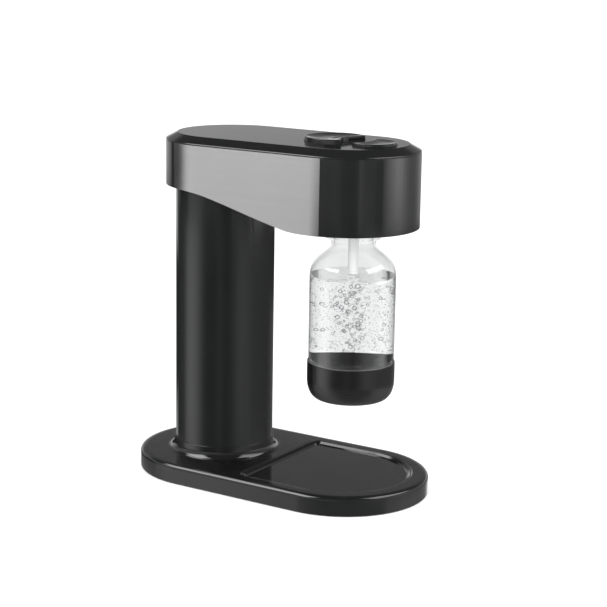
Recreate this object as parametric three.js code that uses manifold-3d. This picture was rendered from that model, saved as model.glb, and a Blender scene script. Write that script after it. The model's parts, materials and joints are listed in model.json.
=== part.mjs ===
// Sparkling water maker: a stadium-shaped base, a round column that holds the gas cylinder,
// a long head with two buttons on top, and a screw-in bottle that hangs under the head.
// Millimetres, +Z up. Origin: centre of the footprint, on the surface it stands on.
// -Y is the front (bottle side), +Y the back (gas cylinder side), +X the user's right.
import * as THREE from "three";
import { mergeVertices } from "three/addons/utils/BufferGeometryUtils.js";
import Module from "manifold-3d";

// ---------------------------------------------------------------- driving dimensions
const GAP = 0.3; // clearance between pieces that touch
const DETAIL = 0.5; // share of the full facet count on round surfaces

// base
const BASE_HALF_W = 99.1, BASE_Y = 181.6, BASE_Z0 = 1.0, BASE_TOP = 22.7;
const BASE_EDGE_R = 4.4, BASE_WALL = 2.8;
const TRAY_W = 82.5, TRAY_YC = -80.5, TRAY_REAR = 6, TRAY_CORNER = 11;
const POCKET_FLOOR = 16.0, TRAY_FLOOR = 18.2, TRAY_RIM = 22.4;
const FOOT_R = 9, FOOT_X = 62, FOOT_Y = 140;

// column
const COL_Y = 82.45, COL_R = 57.36, COL_WALL = 2.8, COL_TOP = 346;
const COVER_HALF_DEG = 55, COVER_Z0 = 38.6, COVER_TOP = 339.3;
const FLARE_R = 67.2, FLARE_H = 14.8;

// head
const HEAD_R = 80.75, HEAD_FRONT = -163.4, HEAD_REAR = 148.4;
const HEAD_WALL_TOP = 391.3, HEAD_WALL = 2.6, HEAD_FLOOR = 3.0;
const PLATE_Z = 400.0, CHAMFER_IN = 13.3, COVER_SKIN = 3.2;
const PANEL_T = 0.8, PANEL_FRONT = -95.2, PANEL_REAR = 103.1;
// lower edge of the head, seen from the side: [y, z] from front to rear
const HEAD_EDGE = [
  [-175, 306.9], [-74, 306.9], [-66.6, 307.1], [-58.8, 307.7], [-51.1, 308.8],
  [-38, 311.9], [-22.2, 315.8], [-6.3, 319.8], [9.7, 324.1], [25.8, 328.4],
  [42.1, 332.5], [50.3, 334.5], [58.5, 336.3], [66.8, 337.7], [76, 338.9],
  [86, 339.7], [96, 340.0], [160, 340.0],
];

// buttons: a large round one with a bite, and a smaller lens-shaped one in front of it
const BTN_Y = -65.5, BTN_R = 35.0, BTN_H = 5.3, BTN_STROKE = 5.2;
const REL_Y = -113.0, REL_R = 27.0, REL_H = 3.0, REL_STROKE = 3.0;
const BITE_R = 35.0, REL_CUT_R = 42.0, BTN_CLEAR = 0.5;

// bottle and carbonation
const BOT_Y = -91.5, BOT_R = 48.5, BOT_WALL = 1.0, WATER_TOP = 252.0;
const CUP_R = 49.5, CUP_TOP = 153.6, CUP_BOTTOM = 113.0;
const NOZZLE_R = 5.8, NOZZLE_END = 252.7;
const SOCKET_R = 34.2, SOCKET_BORE = 30.8, SOCKET_TOP = 340.0;
const VENT_Y = -119.0;

// gas cylinder
const CYL_R = 30.0, CYL_Z0 = 14.0, CYL_NECK_TOP = 336.0, VALVE_TOP = 364.0;

// push lever: pivots behind the cylinder and reaches forward under the large button
const LEVER_Y = 118.0, LEVER_Z = 381.0, LEVER_PIN_R = 3.0;

// ---------------------------------------------------------------- solids
const wasm = await Module();
wasm.setup();

function solid(geometry) {
  const g = geometry.index ? geometry.toNonIndexed() : geometry.clone();
  g.deleteAttribute("normal");
  g.deleteAttribute("uv");
  const m = mergeVertices(g, 1e-4);
  const idx = m.index.array;
  const tris = [];
  for (let i = 0; i < idx.length; i += 3) {
    const a = idx[i], b = idx[i + 1], c = idx[i + 2];
    if (a !== b && b !== c && c !== a) tris.push(a, b, c);
  }
  const make = (t) =>
    new wasm.Manifold(
      new wasm.Mesh({
        numProp: 3,
        vertProperties: new Float32Array(m.attributes.position.array),
        triVerts: new Uint32Array(t),
      }),
    );
  const made = make(tris);
  if (made.volume() >= 0) return made;
  for (let i = 0; i < tris.length; i += 3)
    [tris[i + 1], tris[i + 2]] = [tris[i + 2], tris[i + 1]];
  return make(tris);
}

const seg = (n) => (n <= 8 ? n : Math.max(10, 2 * Math.round((n * DETAIL) / 2)));
const union = (...s) => s.reduce((a, b) => a.add(b));
const cut = (a, ...s) => s.reduce((x, y) => x.subtract(y), a);

// straight prism of a shape in XY, from z0 to z1
function prism(shape, z0, z1, n = 14) {
  const g = new THREE.ExtrudeGeometry(shape, {
    depth: z1 - z0, bevelEnabled: false, curveSegments: Math.ceil(n * DETAIL),
  });
  g.translate(0, 0, z0);
  return solid(g);
}

// prism whose two ends shrink by `size` over `thick` (rounded when steps > 1)
function bevelled(shape, z0, z1, size, thick, steps = 1, n = 14) {
  const g = new THREE.ExtrudeGeometry(shape, {
    depth: z1 - z0 - 2 * thick, bevelEnabled: true, bevelThickness: thick,
    bevelSize: size, bevelOffset: -size, bevelSegments: steps, curveSegments: Math.ceil(n * DETAIL),
  });
  g.translate(0, 0, z0 + thick);
  return solid(g);
}

// prism of a shape drawn in the YZ plane, from x0 to x1
function sidePrism(shape, x0, x1) {
  const g = new THREE.ExtrudeGeometry(shape, {
    depth: x1 - x0, bevelEnabled: false, curveSegments: 1,
  });
  g.translate(0, 0, x0);
  g.applyMatrix4(
    new THREE.Matrix4().set(0, 0, 1, 0, 1, 0, 0, 0, 0, 1, 0, 0, 0, 0, 0, 1),
  );
  return solid(g);
}

function box(x0, x1, y0, y1, z0, z1) {
  const g = new THREE.BoxGeometry(x1 - x0, y1 - y0, z1 - z0);
  g.translate((x0 + x1) / 2, (y0 + y1) / 2, (z0 + z1) / 2);
  return solid(g);
}

function cyl(cx, cy, r, z0, z1, n = 32) {
  const g = new THREE.CylinderGeometry(r, r, z1 - z0, seg(n));
  g.rotateX(Math.PI / 2);
  g.translate(cx, cy, (z0 + z1) / 2);
  return solid(g);
}

// cylinder along X
function cylX(y, z, r, x0, x1, n = 32) {
  const g = new THREE.CylinderGeometry(r, r, x1 - x0, seg(n));
  g.rotateZ(Math.PI / 2);
  g.translate((x0 + x1) / 2, y, z);
  return solid(g);
}

const ring = (cx, cy, ro, ri, z0, z1, n = 32) =>
  cut(cyl(cx, cy, ro, z0, z1, n), cyl(cx, cy, ri, z0 - 1, z1 + 1, n));

// turned piece: profile of [radius, z] pairs, on the axis at both ends or closed on itself
function lathe(profile, cx = 0, cy = 0, n = 36) {
  const g = new THREE.LatheGeometry(
    profile.map(([r, z]) => new THREE.Vector2(r, z)), seg(n),
  );
  g.rotateX(Math.PI / 2);
  g.translate(cx, cy, 0);
  return solid(g);
}

function along(curve, r, steps, sides = 8) {
  const s = new THREE.Shape();
  for (let i = 0; i < sides; i++) {
    const a = (i / sides) * 2 * Math.PI;
    s[i ? "lineTo" : "moveTo"](r * Math.cos(a), r * Math.sin(a));
  }
  s.closePath();
  return solid(
    new THREE.ExtrudeGeometry(s, { steps, extrudePath: curve, curveSegments: 1 }),
  );
}

class Helix extends THREE.Curve {
  constructor(radius, z0, z1, turns) {
    super();
    Object.assign(this, { radius, z0, z1, turns });
  }
  getPoint(t, out = new THREE.Vector3()) {
    const a = 2 * Math.PI * this.turns * t;
    return out.set(
      this.radius * Math.cos(a), this.radius * Math.sin(a),
      this.z0 + (this.z1 - this.z0) * t,
    );
  }
}

// outlines
function stadium(r, yFront, yRear) {
  const s = new THREE.Shape();
  s.absarc(0, yRear - r, r, 0, Math.PI, false);
  s.absarc(0, yFront + r, r, Math.PI, 2 * Math.PI, false);
  return s;
}

function dShape(w, yc, yr, rc) {
  const s = new THREE.Shape();
  s.moveTo(w, yc);
  s.lineTo(w, yr - rc);
  s.absarc(w - rc, yr - rc, rc, 0, Math.PI / 2, false);
  s.absarc(-w + rc, yr - rc, rc, Math.PI / 2, Math.PI, false);
  s.lineTo(-w, yc);
  s.absarc(0, yc, w, Math.PI, 2 * Math.PI, false);
  return s;
}

function polygon(points) {
  const s = new THREE.Shape();
  points.forEach(([a, b], i) => s[i ? "lineTo" : "moveTo"](a, b));
  s.closePath();
  return s;
}

// wedge around the column's axis, from the +Y direction, +-deg wide
function wedge(cy, deg, r, z0, z1) {
  const a = THREE.MathUtils.degToRad(deg);
  const pts = [[0, cy]];
  for (let i = 0; i <= 8; i++) {
    const t = -a + (2 * a * i) / 8;
    pts.push([-r * Math.sin(t), cy + r * Math.cos(t)]);
  }
  return prism(polygon(pts), z0, z1);
}

// ---------------------------------------------------------------- scene graph
const machine = new THREE.Group();
const groups = {};
for (const n of ["base", "column", "head", "mechanism", "gas", "bottle"]) {
  groups[n] = new THREE.Group();
  machine.add(groups[n]);
}

const FINISH = {
  gloss: { color: 0x17191a, roughness: 0.12, metalness: 0 },
  satin: { color: 0x1b1e1d, roughness: 0.38, metalness: 0 },
  dark: { color: 0x26282a, roughness: 0.6, metalness: 0 },
  steel: { color: 0xb4b5b6, roughness: 0.32, metalness: 1 },
  zinc: { color: 0xa9abae, roughness: 0.4, metalness: 1 },
  brass: { color: 0xb08d4a, roughness: 0.35, metalness: 1 },
  rubber: { color: 0x111111, roughness: 0.85, metalness: 0 },
  white: { color: 0xe9ecec, roughness: 0.3, metalness: 0 },
  clear: { color: 0xe6eeee, roughness: 0.04, metalness: 0, transparent: true, opacity: 0.35 },
  water: { color: 0xd9e8ea, roughness: 0.02, metalness: 0, transparent: true, opacity: 0.4 },
  gas: { color: 0x8f9aa3, roughness: 0.45, metalness: 0.4 },
};

function add(group, name, s, finish, at = [0, 0, 0]) {
  const m = s.getMesh();
  const n = m.numProp;
  const v = new Float32Array(m.numVert * 3);
  for (let i = 0; i < m.numVert; i++)
    v.set(m.vertProperties.subarray(i * n, i * n + 3), i * 3);
  const g = new THREE.BufferGeometry();
  g.setAttribute("position", new THREE.BufferAttribute(v, 3));
  g.setIndex(new THREE.BufferAttribute(new Uint32Array(m.triVerts), 1));
  g.computeVertexNormals();
  const mesh = new THREE.Mesh(g, new THREE.MeshStandardMaterial(FINISH[finish]));
  mesh.name = name;
  mesh.position.set(...at);
  groups[group].add(mesh);
  return mesh;
}

// pan-head screw, standing on its head, with a cross recess: head below z = 0, shank above
function screw(headR, headH, shankR, length, recess = true) {
  const body = lathe(
    [
      [0, -headH], [headR * 0.72, -headH], [headR, -headH * 0.45], [headR, 0],
      [shankR, 0], [shankR, length - shankR], [0.3, length], [0, length],
    ],
    0, 0, 16,
  );
  if (!recess) return body;
  const w = headR * 0.17, l = headR * 0.62;
  return cut(
    body,
    box(-w, w, -l, l, -headH - 1, -headH * 0.45),
    box(-l, l, -w, w, -headH - 1, -headH * 0.45),
  );
}

// ================================================================ base
{
  const outer = bevelled(
    stadium(BASE_HALF_W, -BASE_Y, BASE_Y), -12, BASE_TOP, BASE_EDGE_R, BASE_EDGE_R, 2, 16,
  ).subtract(box(-120, 120, -200, 200, -30, BASE_Z0));
  const r = BASE_HALF_W - BASE_WALL;
  const hollow = prism(
    stadium(r, -BASE_Y + BASE_WALL, BASE_Y - BASE_WALL), BASE_Z0 - 5, BASE_TOP - BASE_WALL, 16,
  );
  const pocketBody = prism(
    dShape(TRAY_W + 2.4, TRAY_YC, TRAY_REAR + 2.4, TRAY_CORNER + 2.4),
    POCKET_FLOOR - 2.2, BASE_TOP - BASE_WALL + 0.5, 12,
  );
  const pocket = prism(
    dShape(TRAY_W, TRAY_YC, TRAY_REAR, TRAY_CORNER), POCKET_FLOOR, BASE_TOP + 5, 12,
  );
  // moulded flare around the foot of the column
  const plug = COL_R + GAP;
  const flare = lathe(
    [
      [plug, BASE_TOP - 1.2], [FLARE_R, BASE_TOP - 1.2], [FLARE_R, BASE_TOP + 0.05],
      [64.9, BASE_TOP + 0.7], [62.6, BASE_TOP + 2.6], [60.9, BASE_TOP + 5.3],
      [59.7, BASE_TOP + 8.8], [59.0, BASE_TOP + 12.8], [58.9, BASE_TOP + FLARE_H],
      [plug, BASE_TOP + FLARE_H],
      [plug, BASE_TOP - 1.2],
    ],
    0, COL_Y, 64,
  );
  const seat = cyl(0, COL_Y, plug, BASE_TOP - 1.2, BASE_TOP + 30, 64); // recess for the column's foot
  const well = cyl(0, COL_Y, 50, -5, BASE_TOP + 5, 40); // the cylinder passes down through this
  const screwXY = [[70, 112], [-70, 112], [58, -118], [-58, -118]];
  let base = union(outer.subtract(hollow), pocketBody).subtract(pocket);
  base = union(base.subtract(seat).subtract(well), flare);
  screwXY.forEach(([x, y], i) => {
    const top = i < 2 ? BASE_TOP - BASE_WALL + 0.4 : POCKET_FLOOR - 2;
    base = base.add(cyl(x, y, 4.6, 4.6, top, 16));
    base = base.subtract(cyl(x, y, 1.9, 4, top - 1.6, 12));
  });
  add("base", "base_housing", base, "gloss");

  const pr = BASE_HALF_W - BASE_WALL - 0.4;
  let plate = prism(stadium(pr, -BASE_Y + BASE_WALL + 0.4, BASE_Y - BASE_WALL - 0.4), 2.3, 4.3, 16);
  screwXY.forEach(([x, y]) => (plate = plate.subtract(cyl(x, y, 2.1, 1, 6, 12))));
  for (const x of [-41, 41]) plate = plate.subtract(cyl(x, 62, 2.1, 1, 6, 12));
  add("base", "base_bottom_plate", plate, "dark");

  const foot = lathe(
    [[0, 0], [FOOT_R - 0.8, 0], [FOOT_R, 0.7], [FOOT_R, 2.0], [0, 2.0]], 0, 0, 24,
  );
  for (const [n, x, y] of [
    ["foot_front_left", -FOOT_X, -FOOT_Y], ["foot_front_right", FOOT_X, -FOOT_Y],
    ["foot_rear_left", -FOOT_X, FOOT_Y], ["foot_rear_right", FOOT_X, FOOT_Y],
  ])
    add("base", n, foot, "rubber", [x, y, 0]);

  const names = ["base_screw_rear_right", "base_screw_rear_left",
    "base_screw_front_right", "base_screw_front_left"];
  screwXY.forEach(([x, y], i) =>
    add("base", names[i], screw(3.3, 0.95, 1.5, i < 2 ? 13 : 5.2), "zinc", [x, y, 2.0]),
  );

  // lift-out drip tray: flat rim, sloping wall, low floor
  const t = 0.35;
  const tray = prism(
    dShape(TRAY_W - t, TRAY_YC, TRAY_REAR - t, TRAY_CORNER - t), POCKET_FLOOR + GAP, TRAY_RIM, 12,
  );
  const dish = bevelled(
    dShape(TRAY_W - 1.9, TRAY_YC, TRAY_REAR - 1.9, TRAY_CORNER - 1.9),
    TRAY_FLOOR, TRAY_FLOOR + 40, 2.6, 4.0, 2, 12,
  );
  add("base", "drip_tray", tray.subtract(dish), "gloss");
}

// ================================================================ column
{
  const win = wedge(COL_Y, COVER_HALF_DEG, 80, COVER_Z0 - GAP, COVER_TOP + GAP);
  const shell = ring(0, COL_Y, COL_R, COL_R - COL_WALL, BASE_TOP - 0.9, COL_TOP, 64);
  add("column", "column_shell", shell.subtract(win), "satin");

  const gapDeg = THREE.MathUtils.radToDeg(GAP / COL_R);
  let cover = ring(0, COL_Y, COL_R, COL_R - COL_WALL, COVER_Z0, COVER_TOP, 64).intersect(
    wedge(COL_Y, COVER_HALF_DEG - gapDeg, 80, COVER_Z0, COVER_TOP),
  );
  // three grip ribs to pull the cover by
  for (const z of [296, 303, 310])
    cover = cover.add(
      cut(
        cyl(0, COL_Y, COL_R + 1.4, z - 1.1, z + 1.1, 64).intersect(
          box(-15, 15, COL_Y + 40, COL_Y + 70, z - 2, z + 2),
        ),
        cyl(0, COL_Y, COL_R - 1, z - 3, z + 3, 64),
      ),
    );
  // stiffening ledges inside
  for (const z of [60, 200])
    cover = cover.add(
      cut(
        cyl(0, COL_Y, COL_R - 1, z - 1, z + 1, 64),
        cyl(0, COL_Y, COL_R - 8, z - 3, z + 3, 64),
      ).intersect(wedge(COL_Y, COVER_HALF_DEG - 8, 80, z - 3, z + 3)),
    );
  add("column", "rear_cover", cover, "satin");

  // inner frame: a channel in front of the cylinder, from the bottom plate up into the head
  const arc = cut(
    ring(0, COL_Y, 38, 34.5, 4.7, 372, 48),
    wedge(COL_Y, 95, 80, 0, 400),
  );
  const flange = cut(
    prism(stadium(0.1 + 14, COL_Y - 38 - 4, COL_Y - 10), 4.7, 8, 8).add(
      box(-47, 47, COL_Y - 30, COL_Y - 12, 4.7, 8),
    ),
    cyl(0, COL_Y, 36, 0, 12, 48),
  );
  let frame = union(arc, flange);
  for (const x of [-41, 41]) frame = frame.subtract(cyl(x, 62, 1.9, 4, 9, 12));
  // top plate: rests on the column's collar, carries the valve block and the lever bracket
  const shelf = cut(
    cyl(0, COL_Y, 61, 348.4, 351.4, 48),
    cyl(0, COL_Y, 15.2, 340, 360, 32),
  );
  // notch for the gas pipe
  frame = frame.add(shelf).subtract(box(-6.5, 6.5, COL_Y - 45, COL_Y - 33, 359, 380));
  add("column", "column_frame", frame, "dark");
  for (const [n, x] of [["frame_screw_left", -41], ["frame_screw_right", 41]])
    add("column", n, screw(3.3, 0.95, 1.5, 5.6), "zinc", [x, 62, 2.0]);

  add("column", "cylinder_rest_pad",
    lathe([[0, 4.7], [26, 4.7], [26, 7.6], [0, 7.6]], 0, COL_Y, 28), "rubber");
}

// ================================================================ head
const headBelow = (drop) =>
  sidePrism(
    polygon([...HEAD_EDGE.map(([y, z]) => [y, z - drop]), [160, 250], [-175, 250]]),
    -120, 120,
  );
{
  const full = prism(stadium(HEAD_R, HEAD_FRONT, HEAD_REAR), 300, HEAD_WALL_TOP, 24);
  const inset = HEAD_R - PANEL_T - GAP;
  const slim = prism(
    stadium(inset, HEAD_FRONT + HEAD_R - inset, HEAD_REAR - HEAD_R + inset), 300, HEAD_WALL_TOP, 24,
  );
  // the wall steps in where the steel panels lie
  const outer = union(
    slim,
    full.subtract(box(-100, 100, PANEL_FRONT - GAP, PANEL_REAR + GAP, 290, 400)),
  ).subtract(headBelow(0));
  const ri = inset - HEAD_WALL;
  const d = HEAD_R - ri;
  const room = prism(stadium(ri, HEAD_FRONT + d, HEAD_REAR - d), 290, 400, 20).subtract(
    headBelow(-HEAD_FLOOR),
  );
  let housing = outer.subtract(room);
  housing = cut(
    housing,
    cyl(0, COL_Y, COL_R + GAP, 300, 360, 64),
    cyl(0, BOT_Y, SOCKET_R + 0.4, 300, 330, 48),
  );
  // guard ring around the column inside the head
  housing = housing.add(
    cut(
      ring(0, COL_Y, COL_R + GAP + 2.4, COL_R + GAP, 300, 348, 64),
      headBelow(-1),
    ),
  );
  add("head", "head_housing", housing, "gloss");

  const band = full
    .subtract(
      prism(
        stadium(HEAD_R - PANEL_T, HEAD_FRONT + PANEL_T, HEAD_REAR - PANEL_T), 280, 410, 24,
      ),
    )
    .subtract(headBelow(0));
  for (const [n, x0, x1] of [["side_panel_left", -100, -20], ["side_panel_right", 20, 100]])
    add("head", n, band.intersect(box(x0, x1, PANEL_FRONT, PANEL_REAR, 290, 400)), "steel");

  // top cover: chamfered lid with a lip that drops inside the housing
  const z0 = HEAD_WALL_TOP + GAP;
  const st = stadium(HEAD_R, HEAD_FRONT, HEAD_REAR);
  const lid = bevelled(st, z0 - 40, PLATE_Z, CHAMFER_IN, PLATE_Z - z0 - 0.4, 1, 24).subtract(
    box(-120, 120, -200, 200, 300, z0),
  );
  const under = bevelled(
    stadium(ri - 3.2, HEAD_FRONT + d + 3.2, HEAD_REAR - d - 3.2), 340, PLATE_Z - COVER_SKIN, 7.5, 5.5, 1, 20,
  );
  const lip = prism(
    stadium(ri - 0.4, HEAD_FRONT + d + 0.4, HEAD_REAR - d - 0.4), z0 - 5, z0 + 0.5, 20,
  );
  let cover = lid.add(lip).subtract(under);
  const big = cut(
    cyl(0, BTN_Y, BTN_R + BTN_CLEAR, 380, 410, 64),
    cyl(0, REL_Y, BITE_R - BTN_CLEAR, 370, 420, 56),
  );
  const small = cut(
    cyl(0, REL_Y, REL_R + BTN_CLEAR, 380, 410, 56),
    cyl(0, BTN_Y, REL_CUT_R - BTN_CLEAR, 370, 420, 64),
  );
  cover = cover.subtract(big).subtract(small);
  // posts that the mechanism plate is screwed to
  const posts = [[44, -48], [-44, -48], [34, -131], [-34, -131]];
  for (const [x, y] of posts)
    cover = cut(
      cover.add(cyl(x, y, 4.2, 382.3, PLATE_Z - COVER_SKIN + 0.5, 16)),
      cyl(x, y, 1.8, 380, 393, 12),
    );
  add("head", "head_top_cover", cover, "gloss");

  // mechanism plate under the buttons
  let plate = prism(stadium(47, -147, -36), 379.7, 382.0, 12);
  plate = cut(
    plate,
    box(-12.5, 12.5, -79, 0, 370, 390),
    cyl(0, VENT_Y, 3.6, 370, 390, 20),
  );
  for (const [x, y] of posts) plate = plate.subtract(cyl(x, y, 1.9, 370, 390, 12));
  add("mechanism", "mechanism_plate", plate, "dark");
  const names = ["mechanism_screw_rear_right", "mechanism_screw_rear_left",
    "mechanism_screw_front_right", "mechanism_screw_front_left"];
  posts.forEach(([x, y], i) =>
    add("mechanism", names[i], screw(3.2, 1.6, 1.4, 11, false), "zinc", [x, y, 379.4]),
  );
}

// ================================================================ buttons, springs, lever
{
  const flangeZ0 = 394.2, flangeZ1 = PLATE_Z - COVER_SKIN - GAP;
  const disc = (dr, z0, z1) =>
    cut(
      cyl(0, BTN_Y, BTN_R + dr, z0, z1, 64),
      cyl(0, REL_Y, BITE_R - dr, z0 - 5, z1 + 5, 56),
    );
  const top = PLATE_Z + BTN_H;
  // thumb dish: a shallow bowl sunk into the top, deepest towards the front
  const bowl = [];
  const R = 150, dep = 2.6;
  for (let i = 0; i <= 5; i++) {
    const rr = (i / 5) * 27.5;
    bowl.push([rr, top - dep + R - Math.sqrt(R * R - rr * rr)]);
  }
  bowl.push([29.5, top + 3], [0, top + 3]);
  let button = disc(0, flangeZ0, top).subtract(lathe(bowl, 0, BTN_Y - 6, 36));
  button = button.add(disc(1.6, flangeZ0, flangeZ1)).add(cyl(0, BTN_Y, 6, 384.4, flangeZ0 + 1, 24));
  add("mechanism", "carbonation_button", button, "gloss");

  const lens = (dr, z0, z1) =>
    cut(
      cyl(0, REL_Y, REL_R + dr, z0, z1, 56),
      cyl(0, BTN_Y, REL_CUT_R - dr, z0 - 5, z1 + 5, 64),
    );
  let rel = lens(0, flangeZ0, PLATE_Z + REL_H);
  const b2 = [];
  for (let i = 0; i <= 4; i++) {
    const rr = (i / 4) * 14;
    b2.push([rr, PLATE_Z + REL_H - 0.9 + 110 - Math.sqrt(110 * 110 - rr * rr)]);
  }
  b2.push([15, PLATE_Z + REL_H + 2], [0, PLATE_Z + REL_H + 2]);
  rel = rel.subtract(lathe(b2, 0, REL_Y - 12, 28));
  rel = rel.add(lens(1.4, flangeZ0, flangeZ1)).add(cyl(0, VENT_Y, 2.9, 376.3, flangeZ0 + 1, 16));
  add("mechanism", "release_button", rel, "gloss");

  const coil = (r, wire, z0, z1, turns) =>
    along(new Helix(r, z0 + wire, z1 - wire, turns), wire, turns * 8, 5);
  const s1 = coil(4.2, 0.5, 382.4, 393.8, 4);
  add("mechanism", "button_spring_left", s1, "steel", [-21, BTN_Y + 2, 0]);
  add("mechanism", "button_spring_right", s1, "steel", [21, BTN_Y + 2, 0]);
  add("mechanism", "release_spring", coil(5.2, 0.45, 382.4, 393.8, 4), "steel", [0, VENT_Y, 0]);

  // lever: barrel at the back, bar under the large button
  const barrel = cylX(LEVER_Y, LEVER_Z, 6.0, -9, 9, 28);
  let lever = union(
    barrel,
    box(-9, 9, BTN_Y - 8, LEVER_Y, LEVER_Z - 2.2, LEVER_Z + 3.0),
    box(-1.5, 1.5, BTN_Y + 12, COL_Y - 20, LEVER_Z - 6, LEVER_Z),
  );
  lever = cut(
    lever,
    cylX(LEVER_Y, LEVER_Z, LEVER_PIN_R + 0.25, -20, 20, 28),
  );
  add("mechanism", "push_lever", lever, "zinc");

  let bracket = union(
    box(-17, 17, LEVER_Y - 9, LEVER_Y + 9, 351.7, 354.3),
    box(-17, -14, LEVER_Y - 9, LEVER_Y + 9, 351.7, 388),
    box(14, 17, LEVER_Y - 9, LEVER_Y + 9, 351.7, 388),
  );
  bracket = cut(bracket, cylX(LEVER_Y, LEVER_Z, LEVER_PIN_R + 0.3, -30, 30, 28));
  add("mechanism", "lever_bracket", bracket, "zinc");
  add("mechanism", "lever_pin",
    union(cylX(LEVER_Y, LEVER_Z, LEVER_PIN_R, -18.5, 19.5, 28),
      cylX(LEVER_Y, LEVER_Z, 4.6, -20, -17.4, 28)), "steel");
}

// ================================================================ gas system
{
  // steel cylinder, open at the neck
  const shell = [
    [0, CYL_Z0 + 2.6], [21, CYL_Z0 + 2.6], [25, CYL_Z0], [27.6, CYL_Z0 + 1.2], [CYL_R, CYL_Z0 + 6],
    [CYL_R, 292], [28.6, 301], [24.6, 311], [19, 319], [14.8, 325], [14, 329], [14, CYL_NECK_TOP],
    [8.6, CYL_NECK_TOP], [8.6, 326], [16.5, 315.5], [24.5, 303], [26.8, 292], [27.4, 286],
    [27.4, CYL_Z0 + 9], [24, CYL_Z0 + 6], [0, CYL_Z0 + 5.4],
  ];
  add("gas", "gas_cylinder", lathe(shell, 0, COL_Y, 36), "gas");

  // brass valve screwed into the neck, with a hexagonal collar
  const valve = union(
    lathe([[0, 322], [8.2, 322], [8.2, 337], [12.8, 337], [12.8, 350.8], [10.3, 350.8],
      [10.3, VALVE_TOP], [3.2, VALVE_TOP], [3.2, 358], [0, 358]], 0, COL_Y, 28),
    cyl(0, COL_Y, 14.4, 339.5, 346.5, 6),
  );
  add("gas", "cylinder_valve", valve, "brass");

  // valve block on the frame's shelf; the cylinder's valve screws up into it
  let block = union(
    cyl(0, COL_Y, 17.5, 351.8, 374.2, 32),
    box(-8, 8, COL_Y - 30, COL_Y - 8, 358, 371),
  );
  block = cut(
    block,
    cyl(0, COL_Y, 10.9, 345, 366.2, 28),
    cyl(0, COL_Y, 2.4, 350, 380, 16),
  );
  add("gas", "valve_block", block, "brass");
  add("gas", "valve_seal", ring(0, COL_Y, 9.6, 4.4, VALVE_TOP + 0.3, VALVE_TOP + 1.9, 24), "rubber");

  const lever0 = LEVER_Z - 2.2;
  add("gas", "valve_pin",
    lathe([[0, 360.2], [1.5, 360.2], [1.9, 361], [1.9, 375.6], [4.2, 375.6], [4.2, lever0 - 1.0],
      [2.6, lever0 - GAP], [0, lever0 - GAP]], 0, COL_Y, 20), "steel");

  // pipe from the valve block forward to the carbonation head
  const path = new THREE.CatmullRomCurve3([
    new THREE.Vector3(0, COL_Y - 30.4, 364.5), new THREE.Vector3(0, COL_Y - 40, 364.5),
    new THREE.Vector3(14, 22, 364), new THREE.Vector3(22, -10, 360),
    new THREE.Vector3(14, -34, 353), new THREE.Vector3(0, -46, 350),
    new THREE.Vector3(0, -57.2, 350),
  ]);
  add("gas", "gas_pipe", along(path, 2.6, 26, 8), "zinc");
}

// ================================================================ carbonation head
{
  // block over the bottle socket, with the pipe's inlet at the back and the vent seat in front
  let block = union(
    cyl(0, BOT_Y, 31, SOCKET_TOP + GAP, 355, 40),
    box(-7, 7, -63, -57.6, 344, 355),
    cyl(0, VENT_Y, 7.5, SOCKET_TOP + GAP, 362, 24),
  );
  block = cut(
    block,
    cyl(0, VENT_Y, 3.4, 346, 370, 20),
    cyl(20, BOT_Y, 5.4, 346, 370, 20),
    cyl(0, BOT_Y, 4.3, 330, 347, 20),
  );
  add("gas", "carbonation_head", block, "dark");

  add("gas", "vent_stem",
    lathe([[0, 350.3], [2.2, 350.3], [2.9, 351.4], [2.9, 372], [4.6, 372], [4.6, 376.0], [0, 376.0]],
      0, VENT_Y, 20), "white");

  add("gas", "relief_valve",
    union(
      cyl(20, BOT_Y, 5.0, 347, 355.3, 20), cyl(20, BOT_Y, 7.0, 355.3, 359.5, 6),
      cyl(20, BOT_Y, 4.4, 359.5, 366, 20),
    ), "brass");

  // threaded collar that takes the bottle's neck, flush with the underside of the head
  let socket = ring(0, BOT_Y, SOCKET_R, SOCKET_BORE, 306.9, SOCKET_TOP, 48);
  socket = socket.add(ring(0, BOT_Y, SOCKET_R, 13.0, SOCKET_TOP - 3, SOCKET_TOP, 48));
  socket = socket.add(ring(0, BOT_Y, SOCKET_R, 25.6, 322, 325, 48));
  add("bottle", "bottle_socket", socket, "dark");
  add("bottle", "bottle_gasket", ring(0, BOT_Y, 25.0, 15.0, 333.6, SOCKET_TOP - 3 - GAP, 36), "rubber");

  // gas tube that hangs into the bottle, with a fine jet at its end
  add("bottle", "nozzle_tube",
    lathe([[3.4, NOZZLE_END + 4], [NOZZLE_R, NOZZLE_END + 4], [NOZZLE_R, 296], [7.2, 300],
      [10.6, 304], [10.6, 339.2], [4.0, 339.2], [4.0, 346.5], [2.0, 346.5], [2.0, NOZZLE_END + 10],
      [3.4, NOZZLE_END + 10], [3.4, NOZZLE_END + 4]],
    0, BOT_Y, 28), "white");
  add("bottle", "nozzle_jet",
    lathe([[0.6, NOZZLE_END], [3.6, NOZZLE_END], [5.4, NOZZLE_END + 1.6], [5.4, NOZZLE_END + 3.7],
      [3.1, NOZZLE_END + 3.7], [3.1, NOZZLE_END + 9.6], [0.6, NOZZLE_END + 9.6],
      [0.6, NOZZLE_END]],
    0, BOT_Y, 24), "white");
}

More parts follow.
